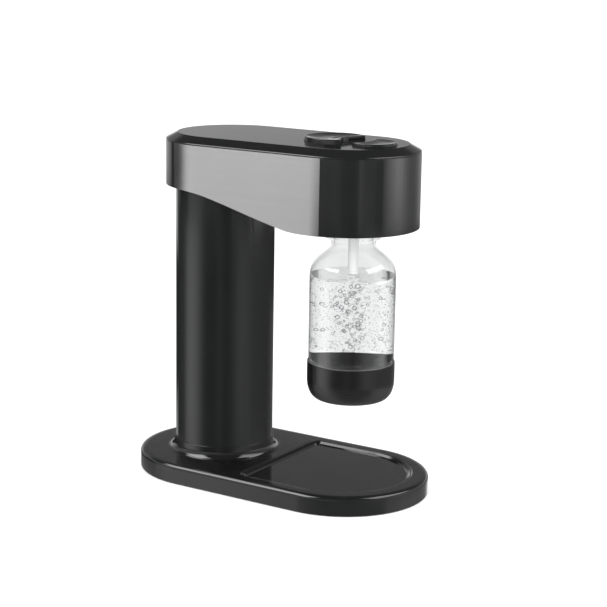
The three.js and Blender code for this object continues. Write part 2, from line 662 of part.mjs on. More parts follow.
// ================================================================ bottle
{
  // outer wall from the middle of the base up to the lip, then back down the inside
  const w = BOT_WALL;
  const outerWall = [
    [22, 118.4], [33, 120.2], [41.4, 126], [46.2, 135], [47.0, 144], [47.0, 154], [BOT_R, 157.4],
    [BOT_R, 250], [46.6, 261.5], [42.4, 268.8], [35.0, 276.4],
    [27.0, 282.5], [24.6, 287.6], [24.6, 290.6], [30.2, 293.7], [30.2, 295.4],
    [24.2, 296.4], [23.8, 333.2],
  ];
  const innerWall = [
    [21.0, 333.2], [21.8, 287.4], [26.0, 281.0], [34.2, 275.5],
    [41.5, 268.1], [45.5, 261.1], [BOT_R - w, 249.8], [BOT_R - w, 157.6],
    [46.0, 154.3], [46.0, 144.2], [45.2, 135.4], [40.6, 126.8], [32.6, 121.3], [22, 119.5],
  ];
  add("bottle", "bottle_shell", lathe([[0, 119.4], ...outerWall, ...innerWall, [0, 120.6]], 0, BOT_Y, 40), "clear");

  add("bottle", "bottle_base_cup",
    lathe([
      [0, 116.0], [22, 114.6], [27, CUP_BOTTOM], [34, CUP_BOTTOM], [40.6, 115.4], [45.6, 119.9],
      [48.4, 125.8], [CUP_R, 132.5], [CUP_R, CUP_TOP - 0.8], [CUP_R - 0.7, CUP_TOP], [47.4, CUP_TOP],
      [47.4, 143.8], [46.6, 134.8], [41.7, 125.5], [33.2, 119.7], [22, 117.9], [0, 118.8],
    ], 0, BOT_Y, 40), "gloss");

  const g = 0.4;
  add("bottle", "bottle_water",
    lathe([
      [0, 121.2], [22, 120.1], [32.4, 121.9], [40.2, 127.3], [44.8, 135.6], [45.6, 144.4],
      [45.6, 154.4], [BOT_R - w - g, 157.8], [BOT_R - w - g, 249.0], [46.4, WATER_TOP],
      [0, WATER_TOP],
    ], 0, BOT_Y, 40), "water");
}

export default machine;
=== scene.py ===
import json
import math
import random

import bmesh
import bpy
import numpy as np
from mathutils import Matrix, Vector
from mathutils.geometry import delaunay_2d_cdt

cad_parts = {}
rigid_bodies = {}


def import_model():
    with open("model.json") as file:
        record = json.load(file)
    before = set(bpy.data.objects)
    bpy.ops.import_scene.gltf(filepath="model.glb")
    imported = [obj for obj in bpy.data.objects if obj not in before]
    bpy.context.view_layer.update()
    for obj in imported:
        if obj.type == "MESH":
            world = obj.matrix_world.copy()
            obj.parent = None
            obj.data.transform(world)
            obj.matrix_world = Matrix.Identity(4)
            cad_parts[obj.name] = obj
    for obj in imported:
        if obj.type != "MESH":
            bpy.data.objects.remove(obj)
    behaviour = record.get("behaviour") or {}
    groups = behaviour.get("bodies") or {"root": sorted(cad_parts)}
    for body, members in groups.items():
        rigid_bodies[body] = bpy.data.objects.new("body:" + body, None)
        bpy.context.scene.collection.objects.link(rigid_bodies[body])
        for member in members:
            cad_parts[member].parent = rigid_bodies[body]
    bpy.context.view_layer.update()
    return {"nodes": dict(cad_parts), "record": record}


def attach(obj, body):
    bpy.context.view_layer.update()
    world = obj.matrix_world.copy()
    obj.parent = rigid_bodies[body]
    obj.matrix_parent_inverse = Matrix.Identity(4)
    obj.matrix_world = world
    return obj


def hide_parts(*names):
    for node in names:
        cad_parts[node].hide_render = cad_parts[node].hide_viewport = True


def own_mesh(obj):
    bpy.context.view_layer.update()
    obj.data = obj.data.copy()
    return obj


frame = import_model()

MM = 0.001
random.seed(11)

# ------------------------------------------------------------------ dimensions, mm (as in the CAD)
BASE_W, BASE_Y, BASE_TOP = 99.1, 181.6, 22.7
COL_Y, COL_R, COL_WALL = 82.45, 57.36, 2.8
HEAD_R, HEAD_FRONT, HEAD_REAR = 80.75, -163.4, 148.4
WALL_TOP, LID_Z, PLATE_Z = 391.3, 391.6, 400.0
PANEL_FRONT, PANEL_REAR = -95.2, 103.1
BTN_Y, REL_Y = -65.5, -113.0
BOT_Y = -91.5
WATER_TOP = 252.0
HEAD_EDGE = [
    (-175, 306.9), (-74, 306.9), (-66.6, 307.1), (-58.8, 307.7), (-51.1, 308.8),
    (-38, 311.9), (-22.2, 315.8), (-6.3, 319.8), (9.7, 324.1), (25.8, 328.4),
    (42.1, 332.5), (50.3, 334.5), (58.5, 336.3), (66.8, 337.7), (76, 338.9),
    (86, 339.7), (96, 340.0), (160, 340.0),
]

# ------------------------------------------------------------------ camera, at the photograph's angle
AZ, EL, ROLL = math.radians(-57.539), math.radians(12.546), math.radians(0.9333)
back = Vector((math.sin(AZ) * math.cos(EL), -math.cos(AZ) * math.cos(EL), math.sin(EL)))
side = Vector((math.cos(AZ), math.sin(AZ), 0.0))
up = back.cross(side)
right = side * math.cos(ROLL) + up * math.sin(ROLL)
top = up * math.cos(ROLL) - side * math.sin(ROLL)
cam_data = bpy.data.cameras.new("camera")
cam_data.sensor_width = 36.0
cam_data.lens = 1721.543 / 607.0 * 36.0
cam_data.clip_start, cam_data.clip_end = 0.05, 50.0
cam = bpy.data.objects.new("camera", cam_data)
bpy.context.scene.collection.objects.link(cam)
spot = Vector((0.0, -0.026867, 0.21061)) + back * 1.96388
cam.matrix_world = Matrix((
    (right.x, top.x, back.x, spot.x),
    (right.y, top.y, back.y, spot.y),
    (right.z, top.z, back.z, spot.z),
    (0, 0, 0, 1),
))
bpy.context.scene.camera = cam


# ------------------------------------------------------------------ mesh helpers (all in mm)
def fillet(points, radii, steps=6):
    """Polyline of [inset, z] pairs with its inner corners rounded. radii has one radius per inner corner."""
    pts = [Vector(p) for p in points]
    out = [tuple(pts[0])]
    for i in range(1, len(pts) - 1):
        r = radii[i - 1]
        a, b = pts[i - 1] - pts[i], pts[i + 1] - pts[i]
        la, lb = a.length, b.length
        if r <= 0 or la < 1e-9 or lb < 1e-9:
            out.append(tuple(pts[i]))
            continue
        a, b = a / la, b / lb
        half = math.acos(max(-1.0, min(1.0, a.dot(b)))) / 2
        if half > math.radians(88):
            out.append(tuple(pts[i]))
            continue
        t = min(r / math.tan(half), la * 0.98, lb * 0.98)
        r = t * math.tan(half)
        centre = pts[i] + (a + b).normalized() * (r / math.sin(half))
        p, q = pts[i] + a * t - centre, pts[i] + b * t - centre
        ang = math.atan2(p.x * q.y - p.y * q.x, p.dot(q))
        n = max(2, round(steps * abs(ang) / (math.pi / 2)))
        for k in range(n + 1):
            c, s = math.cos(ang * k / n), math.sin(ang * k / n)
            out.append((centre.x + p.x * c - p.y * s, centre.y + p.x * s + p.y * c))
    out.append(tuple(pts[-1]))
    return out


def smooth_line(points, per=6):
    """Centripetal curve through the points."""
    p = [np.array(q, float) for q in points]
    p = [2 * p[0] - p[1]] + p + [2 * p[-1] - p[-2]]
    out = []
    for i in range(1, len(p) - 2):
        t = [0.0]
        for k in range(3):
            t.append(t[-1] + max(np.linalg.norm(p[i + k] - p[i + k - 1]), 1e-6) ** 0.5)
        for s in np.linspace(t[1], t[2], per, endpoint=False):
            a1 = (t[1] - s) / (t[1] - t[0]) * p[i - 1] + (s - t[0]) / (t[1] - t[0]) * p[i]
            a2 = (t[2] - s) / (t[2] - t[1]) * p[i] + (s - t[1]) / (t[2] - t[1]) * p[i + 1]
            a3 = (t[3] - s) / (t[3] - t[2]) * p[i + 1] + (s - t[2]) / (t[3] - t[2]) * p[i + 2]
            b1 = (t[2] - s) / (t[2] - t[0]) * a1 + (s - t[0]) / (t[2] - t[0]) * a2
            b2 = (t[3] - s) / (t[3] - t[1]) * a2 + (s - t[1]) / (t[3] - t[1]) * a3
            out.append(tuple((t[2] - s) / (t[2] - t[1]) * b1 + (s - t[1]) / (t[2] - t[1]) * b2))
    out.append(tuple(p[-2]))
    return out


def edge_z(y):
    """Lower edge of the head at y: a smooth curve through HEAD_EDGE."""
    ys = [p[0] for p in HEAD_EDGE]
    zs = [p[1] for p in HEAD_EDGE]
    if y <= ys[1]:
        return zs[1]
    if y >= ys[-2]:
        return zs[-2]
    i = max(k for k in range(len(ys) - 1) if ys[k] <= y)

    def slope(k):
        if k <= 1 or k >= len(ys) - 2:
            return 0.0
        return (zs[k + 1] - zs[k - 1]) / (ys[k + 1] - ys[k - 1])

    h = ys[i + 1] - ys[i]
    t = (y - ys[i]) / h
    return (
        (2 * t ** 3 - 3 * t * t + 1) * zs[i] + (t ** 3 - 2 * t * t + t) * h * slope(i)
        + (3 * t * t - 2 * t ** 3) * zs[i + 1] + (t ** 3 - t * t) * h * slope(i + 1)
    )


def parity(loops, pts):
    """For each point, whether it lies inside an odd number of the loops."""
    pts = np.asarray(pts, float)
    odd = np.zeros(len(pts), bool)
    for lp in loops:
        a = np.asarray(lp, float)
        b = np.roll(a, -1, axis=0)
        for (x0, y0), (x1, y1) in zip(a, b):
            if y0 == y1:
                continue
            hit = (y0 > pts[:, 1]) != (y1 > pts[:, 1])
            odd ^= hit & (pts[:, 0] < (x1 - x0) * (pts[:, 1] - y0) / (y1 - y0) + x0)
    return odd


class Body:
    """Vertices and faces of one closed piece, in mm."""

    def __init__(self):
        self.v, self.f = [], []

    def loop(self, pts):
        i = len(self.v)
        self.v.extend(tuple(map(float, p)) for p in pts)
        return list(range(i, len(self.v)))

    def skin(self, a, b, closed=True):
        n = len(a)
        for i in range(n if closed else n - 1):
            j = (i + 1) % n
            self.f.append((a[i], a[j], b[j], b[i]))

    def stack(self, rings, closed=True):
        loops = [self.loop(r) for r in rings]
        for a, b in zip(loops, loops[1:]):
            self.skin(a, b, closed)
        return loops

    def cap(self, loops, z=None, extra=()):
        """Fills between loops of vertices that are already there; z gives the height of new points."""
        ids = [i for lp in loops for i in lp]
        pts = [Vector(self.v[i][:2]) for i in ids]
        edges, base = [], 0
        for lp in loops:
            n = len(lp)
            edges += [(base + k, base + (k + 1) % n) for k in range(n)]
            base += n
        height = z if callable(z) else (lambda x, y: self.v[loops[0][0]][2] if z is None else z)
        rings = [[self.v[i][:2] for i in lp] for lp in loops]
        if extra:
            keep = parity(rings, extra)
            for k, p in enumerate(extra):
                if keep[k]:
                    ids.append(len(self.v))
                    self.v.append((p[0], p[1], height(*p)))
                    pts.append(Vector(p))
        vs, _, fs, origin, _, _ = delaunay_2d_cdt(pts, edges, [], 0, 1e-7)
        at = []
        for k, p in enumerate(vs):
            if origin[k]:
                at.append(ids[origin[k][0]])
            else:
                at.append(len(self.v))
                self.v.append((p.x, p.y, height(p.x, p.y)))
        mid = [sum((vs[i] for i in f), Vector((0, 0))) / len(f) for f in fs]
        keep = parity(rings, [tuple(m) for m in mid])
        self.f += [tuple(at[i] for i in f) for f, k in zip(fs, keep) if k]

    def fan(self, lp, centre):
        c = len(self.v)
        self.v.append(tuple(map(float, centre)))
        for i in range(len(lp)):
            self.f.append((lp[i], lp[(i + 1) % len(lp)], c))

    def add(self, other, move=(0, 0, 0)):
        i = len(self.v)
        self.v += [(x + move[0], y + move[1], z + move[2]) for x, y, z in other.v]
        self.f += [tuple(k + i for k in f) for f in other.f]
        return self

    def mirrored(self):
        m = Body()
        m.v = [(-x, y, z) for x, y, z in self.v]
        m.f = [tuple(reversed(f)) for f in self.f]
        return m


def turned(profile, cx=0.0, cy=0.0, n=128, wave=None):
    """Turned body. The profile's ends are on the axis, or it closes on itself."""
    b = Body()
    angles = [2 * math.pi * k / n for k in range(n)]
    first = last = None
    for i, (r, z) in enumerate(profile):
        if r < 1e-6:
            lp = [len(b.v)] * n
            b.v.append((cx, cy, z))
        else:
            lp = b.loop([(cx + r * math.cos(a), cy + r * math.sin(a), z) for a in angles])
        if last is None:
            first = lp
        else:
            for k in range(n):
                j = (k + 1) % n
                f = []
                for q in (last[k], last[j], lp[j], lp[k]):
                    if q not in f:
                        f.append(q)
                if len(f) > 2:
                    b.f.append(tuple(f))
        last = lp
    if profile[0][0] > 1e-6 and profile[-1][0] > 1e-6:
        b.skin(last, first)
    return b


def stadium(r, y0, y1, n=56):
    """Outline that can be inset: outline(d) is a list of x, y."""
    def outline(d=0.0):
        q = r - d
        pts = [(q * math.cos(math.pi * k / n), y1 - r + q * math.sin(math.pi * k / n)) for k in range(n + 1)]
        pts += [(-q * math.cos(math.pi * k / n), y0 + r - q * math.sin(math.pi * k / n)) for k in range(n + 1)]
        return pts
    return outline


def d_shape(w, yc, yr, rc, n=72, nc=12):
    def outline(d=0.0):
        q, c = w - d, max(rc - d, 0.3)
        ye = yr - d - c
        pts = [(q - c + c * math.cos(math.pi / 2 * k / nc), ye + c * math.sin(math.pi / 2 * k / nc)) for k in range(nc + 1)]
        pts += [(-(q - c) - c * math.sin(math.pi / 2 * k / nc), ye + c * math.cos(math.pi / 2 * k / nc)) for k in range(nc + 1)]
        pts += [(-q * math.cos(math.pi * k / n), yc - q * math.sin(math.pi * k / n)) for k in range(n + 1)]
        return pts
    return outline


def circle(cx, cy, r, n=96):
    def outline(d=0.0):
        return [(cx + (r - d) * math.cos(2 * math.pi * k / n), cy + (r - d) * math.sin(2 * math.pi * k / n)) for k in range(n)]
    return outline


def bitten(yc, r, yb, rb, n=88, nb=44, corner=1.6):
    """Circle about (0, yc) with a circle about (0, yb) cut out of it, its two corners rounded."""
    s = 1 if yb > yc else -1
    far = abs(yb - yc)

    def outline(d=0.0):
        ra, rc, k = r - d, rb + d, max(corner - d, 0.25)
        # centre of a corner's rounding: k inside the circle and k outside the bite
        a = ((ra - k) ** 2 - (rc + k) ** 2 + far * far) / (2 * far)
        h = math.sqrt((ra - k) ** 2 - a * a)
        cxy = np.array([h, yc + s * a])
        out = np.array([h, s * a]) / (ra - k)
        cut = (np.array([0.0, yb]) - cxy) / (rc + k)
        a0, a1 = math.atan2(out[1], out[0]), math.atan2(cut[1], cut[0])
        turn = (a1 - a0 + math.pi) % (2 * math.pi) - math.pi
        nk = 7
        small = [tuple(cxy + k * np.array([math.cos(a0 + turn * i / nk), math.sin(a0 + turn * i / nk)])) for i in range(nk + 1)]
        p0, p1 = small[0], small[-1]
        # big arc from the corner round the far side to its mirror image
        t0 = math.atan2(p0[1] - yc, p0[0])
        t1 = math.atan2(p0[1] - yc, -p0[0])
        span = (t1 - t0) % (2 * math.pi)
        if s < 0:
            big = [(ra * math.cos(t0 + span * i / n), yc + ra * math.sin(t0 + span * i / n)) for i in range(n + 1)]
        else:
            span = span - 2 * math.pi
            big = [(ra * math.cos(t0 + span * i / n), yc + ra * math.sin(t0 + span * i / n)) for i in range(n + 1)]
        # concave arc back from the mirror image's end to the corner's end
        u0 = math.atan2(p1[1] - yb, -p1[0])
        u1 = math.atan2(p1[1] - yb, p1[0])
        turn2 = (u1 - u0 + math.pi) % (2 * math.pi) - math.pi
        back_arc = [(rc * math.cos(u0 + turn2 * i / nb), yb + rc * math.sin(u0 + turn2 * i / nb)) for i in range(nb + 1)]
        left = [(-x, y) for x, y in small]
        return big + left[1:-1] + back_arc + small[::-1][1:-1]
    return outline


def rings_of(outline, profile, z_of=None):
    out = []
    for d, z in profile:
        pts = outline(d)
        out.append([(x, y, z if z_of is None else z_of(x, y, z)) for x, y in pts])
    return out


def piece(name, body, rides, material, replaces=(), sharp=38.0, weighted=False, bevel=0.0, flip=None):
    """Turns a Body into an object in metres that rides on a CAD body."""
    bm = bmesh.new()
    made = [bm.verts.new(Vector(v) * MM) for v in body.v]
    for f in body.f:
        if len(set(f)) > 2:
            try:
                bm.faces.new([made[i] for i in f])
            except ValueError:
                pass
    bmesh.ops.remove_doubles(bm, verts=bm.verts, dist=2e-6)
    loose = [v for v in bm.verts if not v.link_faces]
    bmesh.ops.delete(bm, geom=loose, context="VERTS")
    bmesh.ops.recalc_face_normals(bm, faces=bm.faces)
    if bevel:
        hard = [e for e in bm.edges if len(e.link_faces) == 2 and e.calc_face_angle(0.0) > math.radians(50)]
        bmesh.ops.bevel(bm, geom=hard, offset=bevel * MM, offset_type="OFFSET", segments=2,
                        profile=0.5, affect="EDGES", clamp_overlap=True)
    for f in bm.faces:
        f.smooth = True
    for e in bm.edges:
        e.smooth = not (len(e.link_faces) == 2 and e.calc_face_angle(0.0) > math.radians(sharp))
    if flip:
        flip(bm)
    me = bpy.data.meshes.new(name)
    bm.to_mesh(me)
    bm.free()
    me.materials.append(material)
    ob = bpy.data.objects.new(name, me)
    bpy.context.scene.collection.objects.link(ob)
    if weighted:
        w = ob.modifiers.new("even_shading", "WEIGHTED_NORMAL")
        w.keep_sharp = True
        w.weight = 60
    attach(ob, rides)
    if replaces:
        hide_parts(*replaces)
    return ob


# ------------------------------------------------------------------ materials
class Mat:
    def __init__(self, name):
        self.m = bpy.data.materials.new(name)
        self.m.use_nodes = True
        self.nt = self.m.node_tree
        self.nt.nodes.clear()
        self.out = self.node("ShaderNodeOutputMaterial")
        self.p = self.node("ShaderNodeBsdfPrincipled")
        self.link(self.p.outputs[0], self.out.inputs["Surface"])
        self.co = self.node("ShaderNodeTexCoord").outputs["Object"]

    def node(self, kind, **kw):
        n = self.nt.nodes.new(kind)
        for k, v in kw.items():
            setattr(n, k, v)
        return n

    def link(self, a, b):
        self.nt.links.new(a, b)

    def set(self, **kw):
        names = {
            "rough": "Roughness", "metal": "Metallic", "ior": "IOR", "coat": "Coat Weight",
            "coat_rough": "Coat Roughness", "trans": "Transmission Weight", "aniso": "Anisotropic",
            "aniso_rot": "Anisotropic Rotation", "sss": "Subsurface Weight", "sss_scale": "Subsurface Scale",
            "spec": "Specular IOR Level", "sheen": "Sheen Weight", "color": "Base Color",
            "sss_radius": "Subsurface Radius",
        }
        for k, v in kw.items():
            self.p.inputs[names[k]].default_value = v
        return self

    def at(self, stretch=(1, 1, 1), turn=(0, 0, 0)):
        m = self.node("ShaderNodeMapping")
        m.inputs["Scale"].default_value = stretch
        m.inputs["Rotation"].default_value = turn
        self.link(self.co, m.inputs["Vector"])
        return m.outputs[0]

    def noise(self, scale, detail=3.0, rough=0.55, where=None, distortion=0.0):
        n = self.node("ShaderNodeTexNoise")
        n.inputs["Scale"].default_value = scale
        n.inputs["Detail"].default_value = detail
        n.inputs["Roughness"].default_value = rough
        n.inputs["Distortion"].default_value = distortion
        self.link(where if where is not None else self.co, n.inputs["Vector"])
        return n.outputs["Fac"]

    def map(self, value, a, b, c, d, smooth=False):
        n = self.node("ShaderNodeMapRange")
        n.interpolation_type = "SMOOTHSTEP" if smooth else "LINEAR"
        n.inputs["From Min"].default_value = a
        n.inputs["From Max"].default_value = b
        n.inputs["To Min"].default_value = c
        n.inputs["To Max"].default_value = d
        self.link(value, n.inputs["Value"])
        return n.outputs["Result"]

    def ramp(self, value, stops):
        n = self.node("ShaderNodeValToRGB")
        e = n.color_ramp.elements
        while len(e) < len(stops):
            e.new(0.5)
        for i, (pos, col) in enumerate(stops):
            e[i].position = pos
            e[i].color = (*col, 1.0) if hasattr(col, "__len__") else (col, col, col, 1.0)
        self.link(value, n.inputs["Fac"])
        return n.outputs["Color"]

    def math(self, op, a, b=None):
        n = self.node("ShaderNodeMath", operation=op)
        for i, v in enumerate((a, b)):
            if v is None:
                continue
            if isinstance(v, (int, float)):
                n.inputs[i].default_value = v
            else:
                self.link(v, n.inputs[i])
        return n.outputs[0]

    def bump(self, value, distance, strength=1.0, under=None):
        n = self.node("ShaderNodeBump")
        n.inputs["Distance"].default_value = distance
        n.inputs["Strength"].default_value = strength
        self.link(value, n.inputs["Height"])
        if under is not None:
            self.link(under, n.inputs["Normal"])
        self.link(n.outputs[0], self.p.inputs["Normal"])
        return n.outputs[0]

    def color(self, socket):
        self.link(socket, self.p.inputs["Base Color"])

    def rough(self, socket):
        self.link(socket, self.p.inputs["Roughness"])


def gloss(name, dark, light, r0=0.05, r1=0.11, coat=0.0, dull=None):
    """Polished moulded plastic: faint smears, fine orange peel, a few dust specks. dull: heights between which it turns matt."""
    m = Mat(name)
    m.set(ior=1.5, coat=coat, coat_rough=0.2)
    smear = m.noise(22.0, 5.0, 0.6, distortion=0.6)
    fine = m.noise(950.0, 2.0, 0.5)
    speck = m.map(m.noise(2600.0, 1.0, 0.4), 0.71, 0.78, 0.0, 1.0)
    m.color(m.ramp(m.math("ADD", m.math("MULTIPLY", smear, 0.8), m.math("MULTIPLY", speck, 0.5)),
                   [(0.25, dark), (0.75, light), (1.0, tuple(2.2 * c for c in light))]))
    rough = m.math("ADD", m.map(smear, 0.3, 0.7, r0, r1, True), m.math("MULTIPLY", speck, 0.16))
    if dull:
        height = m.node("ShaderNodeSeparateXYZ")
        m.link(m.co, height.inputs[0])
        rough = m.math("ADD", rough, m.map(height.outputs["Z"], dull[0], dull[1], dull[2], 0.0, True))
    m.rough(rough)
    a = m.bump(m.noise(170.0, 2.0, 0.5), 0.00002, 0.5)
    m.bump(fine, 0.0000025, 0.6, a)
    return m.m


def satin(name, dark, light, r0=0.30, r1=0.37, grain=1500.0):
    """Lightly textured moulded plastic."""
    m = Mat(name)
    m.set(ior=1.5)
    cloud = m.noise(30.0, 4.0, 0.6)
    tex = m.noise(grain, 3.0, 0.6)
    m.color(m.ramp(m.math("ADD", m.math("MULTIPLY", cloud, 0.6), m.math("MULTIPLY", tex, 0.4)),
                   [(0.3, dark), (0.7, light)]))
    m.rough(m.math("ADD", m.map(cloud, 0.3, 0.7, r0, r1), m.map(tex, 0.3, 0.7, -0.02, 0.02)))
    m.bump(tex, 0.00001, 0.7)
    return m.m


def brushed(name, dark, light, r0, r1, stretch, aniso=0.55, turn=0.25, scale=2400.0, bump=0.5, painted_low_shade=None):
    """Brushed metal: streaks along one direction."""
    m = Mat(name)
    m.set(metal=1.0, aniso=aniso, aniso_rot=turn)
    where = m.at(stretch)
    streak = m.noise(scale, 4.0, 0.65, where)
    wide = m.noise(scale / 9.0, 3.0, 0.6, where)
    cloud = m.noise(16.0, 3.0, 0.5)
    mix = m.math("ADD", m.math("MULTIPLY", streak, 0.55), m.math("MULTIPLY", wide, 0.45))
    tone = m.ramp(mix, [(0.3, dark), (0.7, light)])
    if painted_low_shade:
        # painted shade: the colour is scaled darker towards the lower edge, standing in for the dimmer reflection there
        z0, z1, low = painted_low_shade
        sep = m.node("ShaderNodeSeparateXYZ")
        m.link(m.co, sep.inputs[0])
        scale_by = m.node("ShaderNodeVectorMath", operation="SCALE")
        m.link(tone, scale_by.inputs[0])
        m.link(m.map(sep.outputs["Z"], z0, z1, low, 1.0), scale_by.inputs["Scale"])
        tone = scale_by.outputs[0]
    m.color(tone)
    m.rough(m.math("ADD", m.map(streak, 0.3, 0.7, r0, r1), m.map(cloud, 0.3, 0.7, -0.015, 0.015)))
    m.bump(streak, 0.000004, bump)
    return m.m


def metal(name, dark, light, r0=0.28, r1=0.42, scale=300.0):
    m = Mat(name)
    m.set(metal=1.0)
    n = m.noise(scale, 4.0, 0.6)
    m.color(m.ramp(n, [(0.3, dark), (0.7, light)]))
    m.rough(m.map(n, 0.3, 0.7, r0, r1))
    m.bump(m.noise(scale * 5, 2.0, 0.5), 0.000006, 0.6)
    return m.m


def rubbery(name):
    m = Mat(name)
    n = m.noise(900.0, 4.0, 0.7)
    m.color(m.ramp(n, [(0.3, (0.010, 0.010, 0.010)), (0.7, (0.022, 0.022, 0.022))]))
    m.rough(m.map(n, 0.3, 0.7, 0.62, 0.82))
    m.bump(n, 0.00004, 0.7)
    return m.m


def painted(name):
    """Cylinder paint: even coat with slight orange peel and a few rubbed spots."""
    m = Mat(name)
    m.set(ior=1.5, coat=0.3, coat_rough=0.2)
    rub = m.noise(55.0, 6.0, 0.7)
    m.color(m.ramp(rub, [(0.35, (0.24, 0.29, 0.33)), (0.68, (0.28, 0.33, 0.37)), (0.8, (0.40, 0.42, 0.44))]))
    m.rough(m.map(rub, 0.3, 0.8, 0.34, 0.5))
    m.bump(m.noise(420.0, 2.0, 0.5), 0.00003, 0.5)
    return m.m


def milky(name):
    """White plastic that lets some light through."""
    m = Mat(name)
    m.set(ior=1.4, trans=0.06)
    n = m.noise(240.0, 3.0, 0.5)
    m.color(m.ramp(n, [(0.3, (0.94, 0.95, 0.95)), (0.7, (0.98, 0.98, 0.98))]))
    m.rough(m.map(n, 0.3, 0.7, 0.42, 0.52))
    m.bump(m.noise(700.0, 2.0, 0.5), 0.00001, 0.5)
    return m.m


def clear(name):
    """Clear bottle plastic, thin walled: greyer where the wall is seen edge on, gloss on top of it."""
    m = Mat(name)
    lw = m.node("ShaderNodeLayerWeight")
    lw.inputs["Blend"].default_value = 0.5
    ripple = m.noise(38.0, 2.0, 0.5, m.at((1, 1, 0.5)))
    edge = m.math("ADD", lw.outputs["Facing"], m.map(ripple, 0.3, 0.7, -0.012, 0.012))
    tint = m.ramp(edge, [(0.0, (0.912, 0.915, 0.915)), (0.5, (0.908, 0.911, 0.911)), (0.80, (0.900, 0.903, 0.903)),
                         (0.93, (0.84, 0.845, 0.845)), (1.0, (0.66, 0.67, 0.67))])
    through = m.node("ShaderNodeBsdfTransparent")
    m.link(tint, through.inputs["Color"])
    shine = m.node("ShaderNodeBsdfGlossy")
    shine.inputs["Color"].default_value = (0.97, 0.97, 0.97, 1)
    m.link(m.map(m.noise(40.0, 3.0, 0.5), 0.3, 0.7, 0.03, 0.06), shine.inputs["Roughness"])
    bump = m.node("ShaderNodeBump")
    bump.inputs["Distance"].default_value = 0.0006
    bump.inputs["Strength"].default_value = 0.3
    m.link(ripple, bump.inputs["Height"])
    m.link(bump.outputs[0], shine.inputs["Normal"])
    gloss_share = m.math("ADD", m.math("MULTIPLY", m.math("POWER", lw.outputs["Facing"], 5.0), 0.7), 0.04)
    mixer = m.node("ShaderNodeMixShader")
    m.link(gloss_share, mixer.inputs[0])
    m.link(through.outputs[0], mixer.inputs[1])
    m.link(shine.outputs[0], mixer.inputs[2])
    m.nt.nodes.remove(m.p)
    m.link(mixer.outputs[0], m.out.inputs["Surface"])
    return m.m


def watery(name):
    m = Mat(name)
    m.set(ior=1.15, trans=1.0)
    n = m.noise(20.0, 2.0, 0.5)
    m.color(m.ramp(n, [(0.2, (0.955, 0.962, 0.962)), (0.8, (0.972, 0.978, 0.978))]))
    m.rough(m.map(n, 0.3, 0.7, 0.0, 0.003))
    m.bump(m.noise(60.0, 2.0, 0.5), 0.0001, 0.1)
    return m.m


def bubbly(name, rim):
    """Gas bubbles: clear in the middle, with a painted dark ring and a painted light outer line standing in for the
    light a bubble bends and reflects.
    """
    m = Mat(name)
    m.set(ior=1.0, trans=1.0, spec=0.0, rough=0.0)
    lw = m.node("ShaderNodeLayerWeight")
    lw.inputs["Blend"].default_value = 0.5
    n = m.noise(300.0, 2.0, 0.5)
    m.color(m.ramp(m.math("ADD", lw.outputs["Facing"], m.map(n, 0.3, 0.7, -0.03, 0.03)), rim))
    return m.m


GLOSS = gloss("gloss_black", (0.0050, 0.0052, 0.0052), (0.0068, 0.0070, 0.0070))
GLOSS_CUP = gloss("gloss_black_cup", (0.0044, 0.0045, 0.0045), (0.0060, 0.0061, 0.0061), 0.13, 0.18, dull=(0.112, 0.136, 0.35))
SATIN = satin("satin_black", (0.0051, 0.0056, 0.0054), (0.0065, 0.0071, 0.0069), 0.095, 0.13)
INNER = satin("inner_plastic", (0.020, 0.021, 0.022), (0.030, 0.031, 0.032), 0.45, 0.55, 700.0)
# steel panel: its last argument is painted shade, the colour darkening towards the panel's lower edge
PANEL = brushed("steel_panel", (0.525, 0.525, 0.525), (0.56, 0.56, 0.56), 0.145, 0.17, (1.0, 0.02, 1.0), 0.5, bump=0.2,
                painted_low_shade=(0.300, 0.390, 0.80))
STEEL = metal("steel_parts", (0.55, 0.55, 0.56), (0.68, 0.68, 0.69))
BRASS = metal("brass", (0.62, 0.46, 0.20), (0.74, 0.56, 0.28), 0.26, 0.38)
RUBBER = rubbery("rubber")
WHITE = milky("white_plastic")
CLEAR = clear("clear_plastic")
WATER = watery("water")
PAINT = painted("cylinder_paint")
# bubble ramps: painted shade for the dark rings and painted highlight for the light outer lines; the fine bubbles are
# painted grey shade all over
BUBBLES = bubbly("bubbles", [(0.0, (0.99, 0.99, 0.99)), (0.20, (0.95, 0.95, 0.95)), (0.36, (0.50, 0.51, 0.51)), (0.52, (0.10, 0.105, 0.105)),
                             (0.76, (0.10, 0.105, 0.105)), (0.90, (0.60, 0.61, 0.61)), (1.0, (0.85, 0.86, 0.86))])
FINE_BUBBLES = bubbly("fine_bubbles", [(0.0, (0.50, 0.51, 0.51)), (0.3, (0.38, 0.39, 0.39)), (0.8, (0.30, 0.31, 0.31)), (1.0, (0.55, 0.56, 0.56))])

SLOT_MATERIAL = {
    "gloss_black": GLOSS, "satin_black": SATIN, "inner_plastic": INNER, "steel_panel": PANEL,
    "steel_parts": STEEL, "brass": BRASS, "rubber": RUBBER, "white_plastic": WHITE,
    "clear_plastic": CLEAR, "water": WATER, "cylinder_paint": PAINT,
}
for entry in frame["record"].get("materials", []):
    mat = SLOT_MATERIAL[entry["slot"]]
    for n in entry.get("nodes", []):
        ob = frame["nodes"].get(n)
        if ob is None:
            continue
        ob.data.materials.clear()
        ob.data.materials.append(mat)

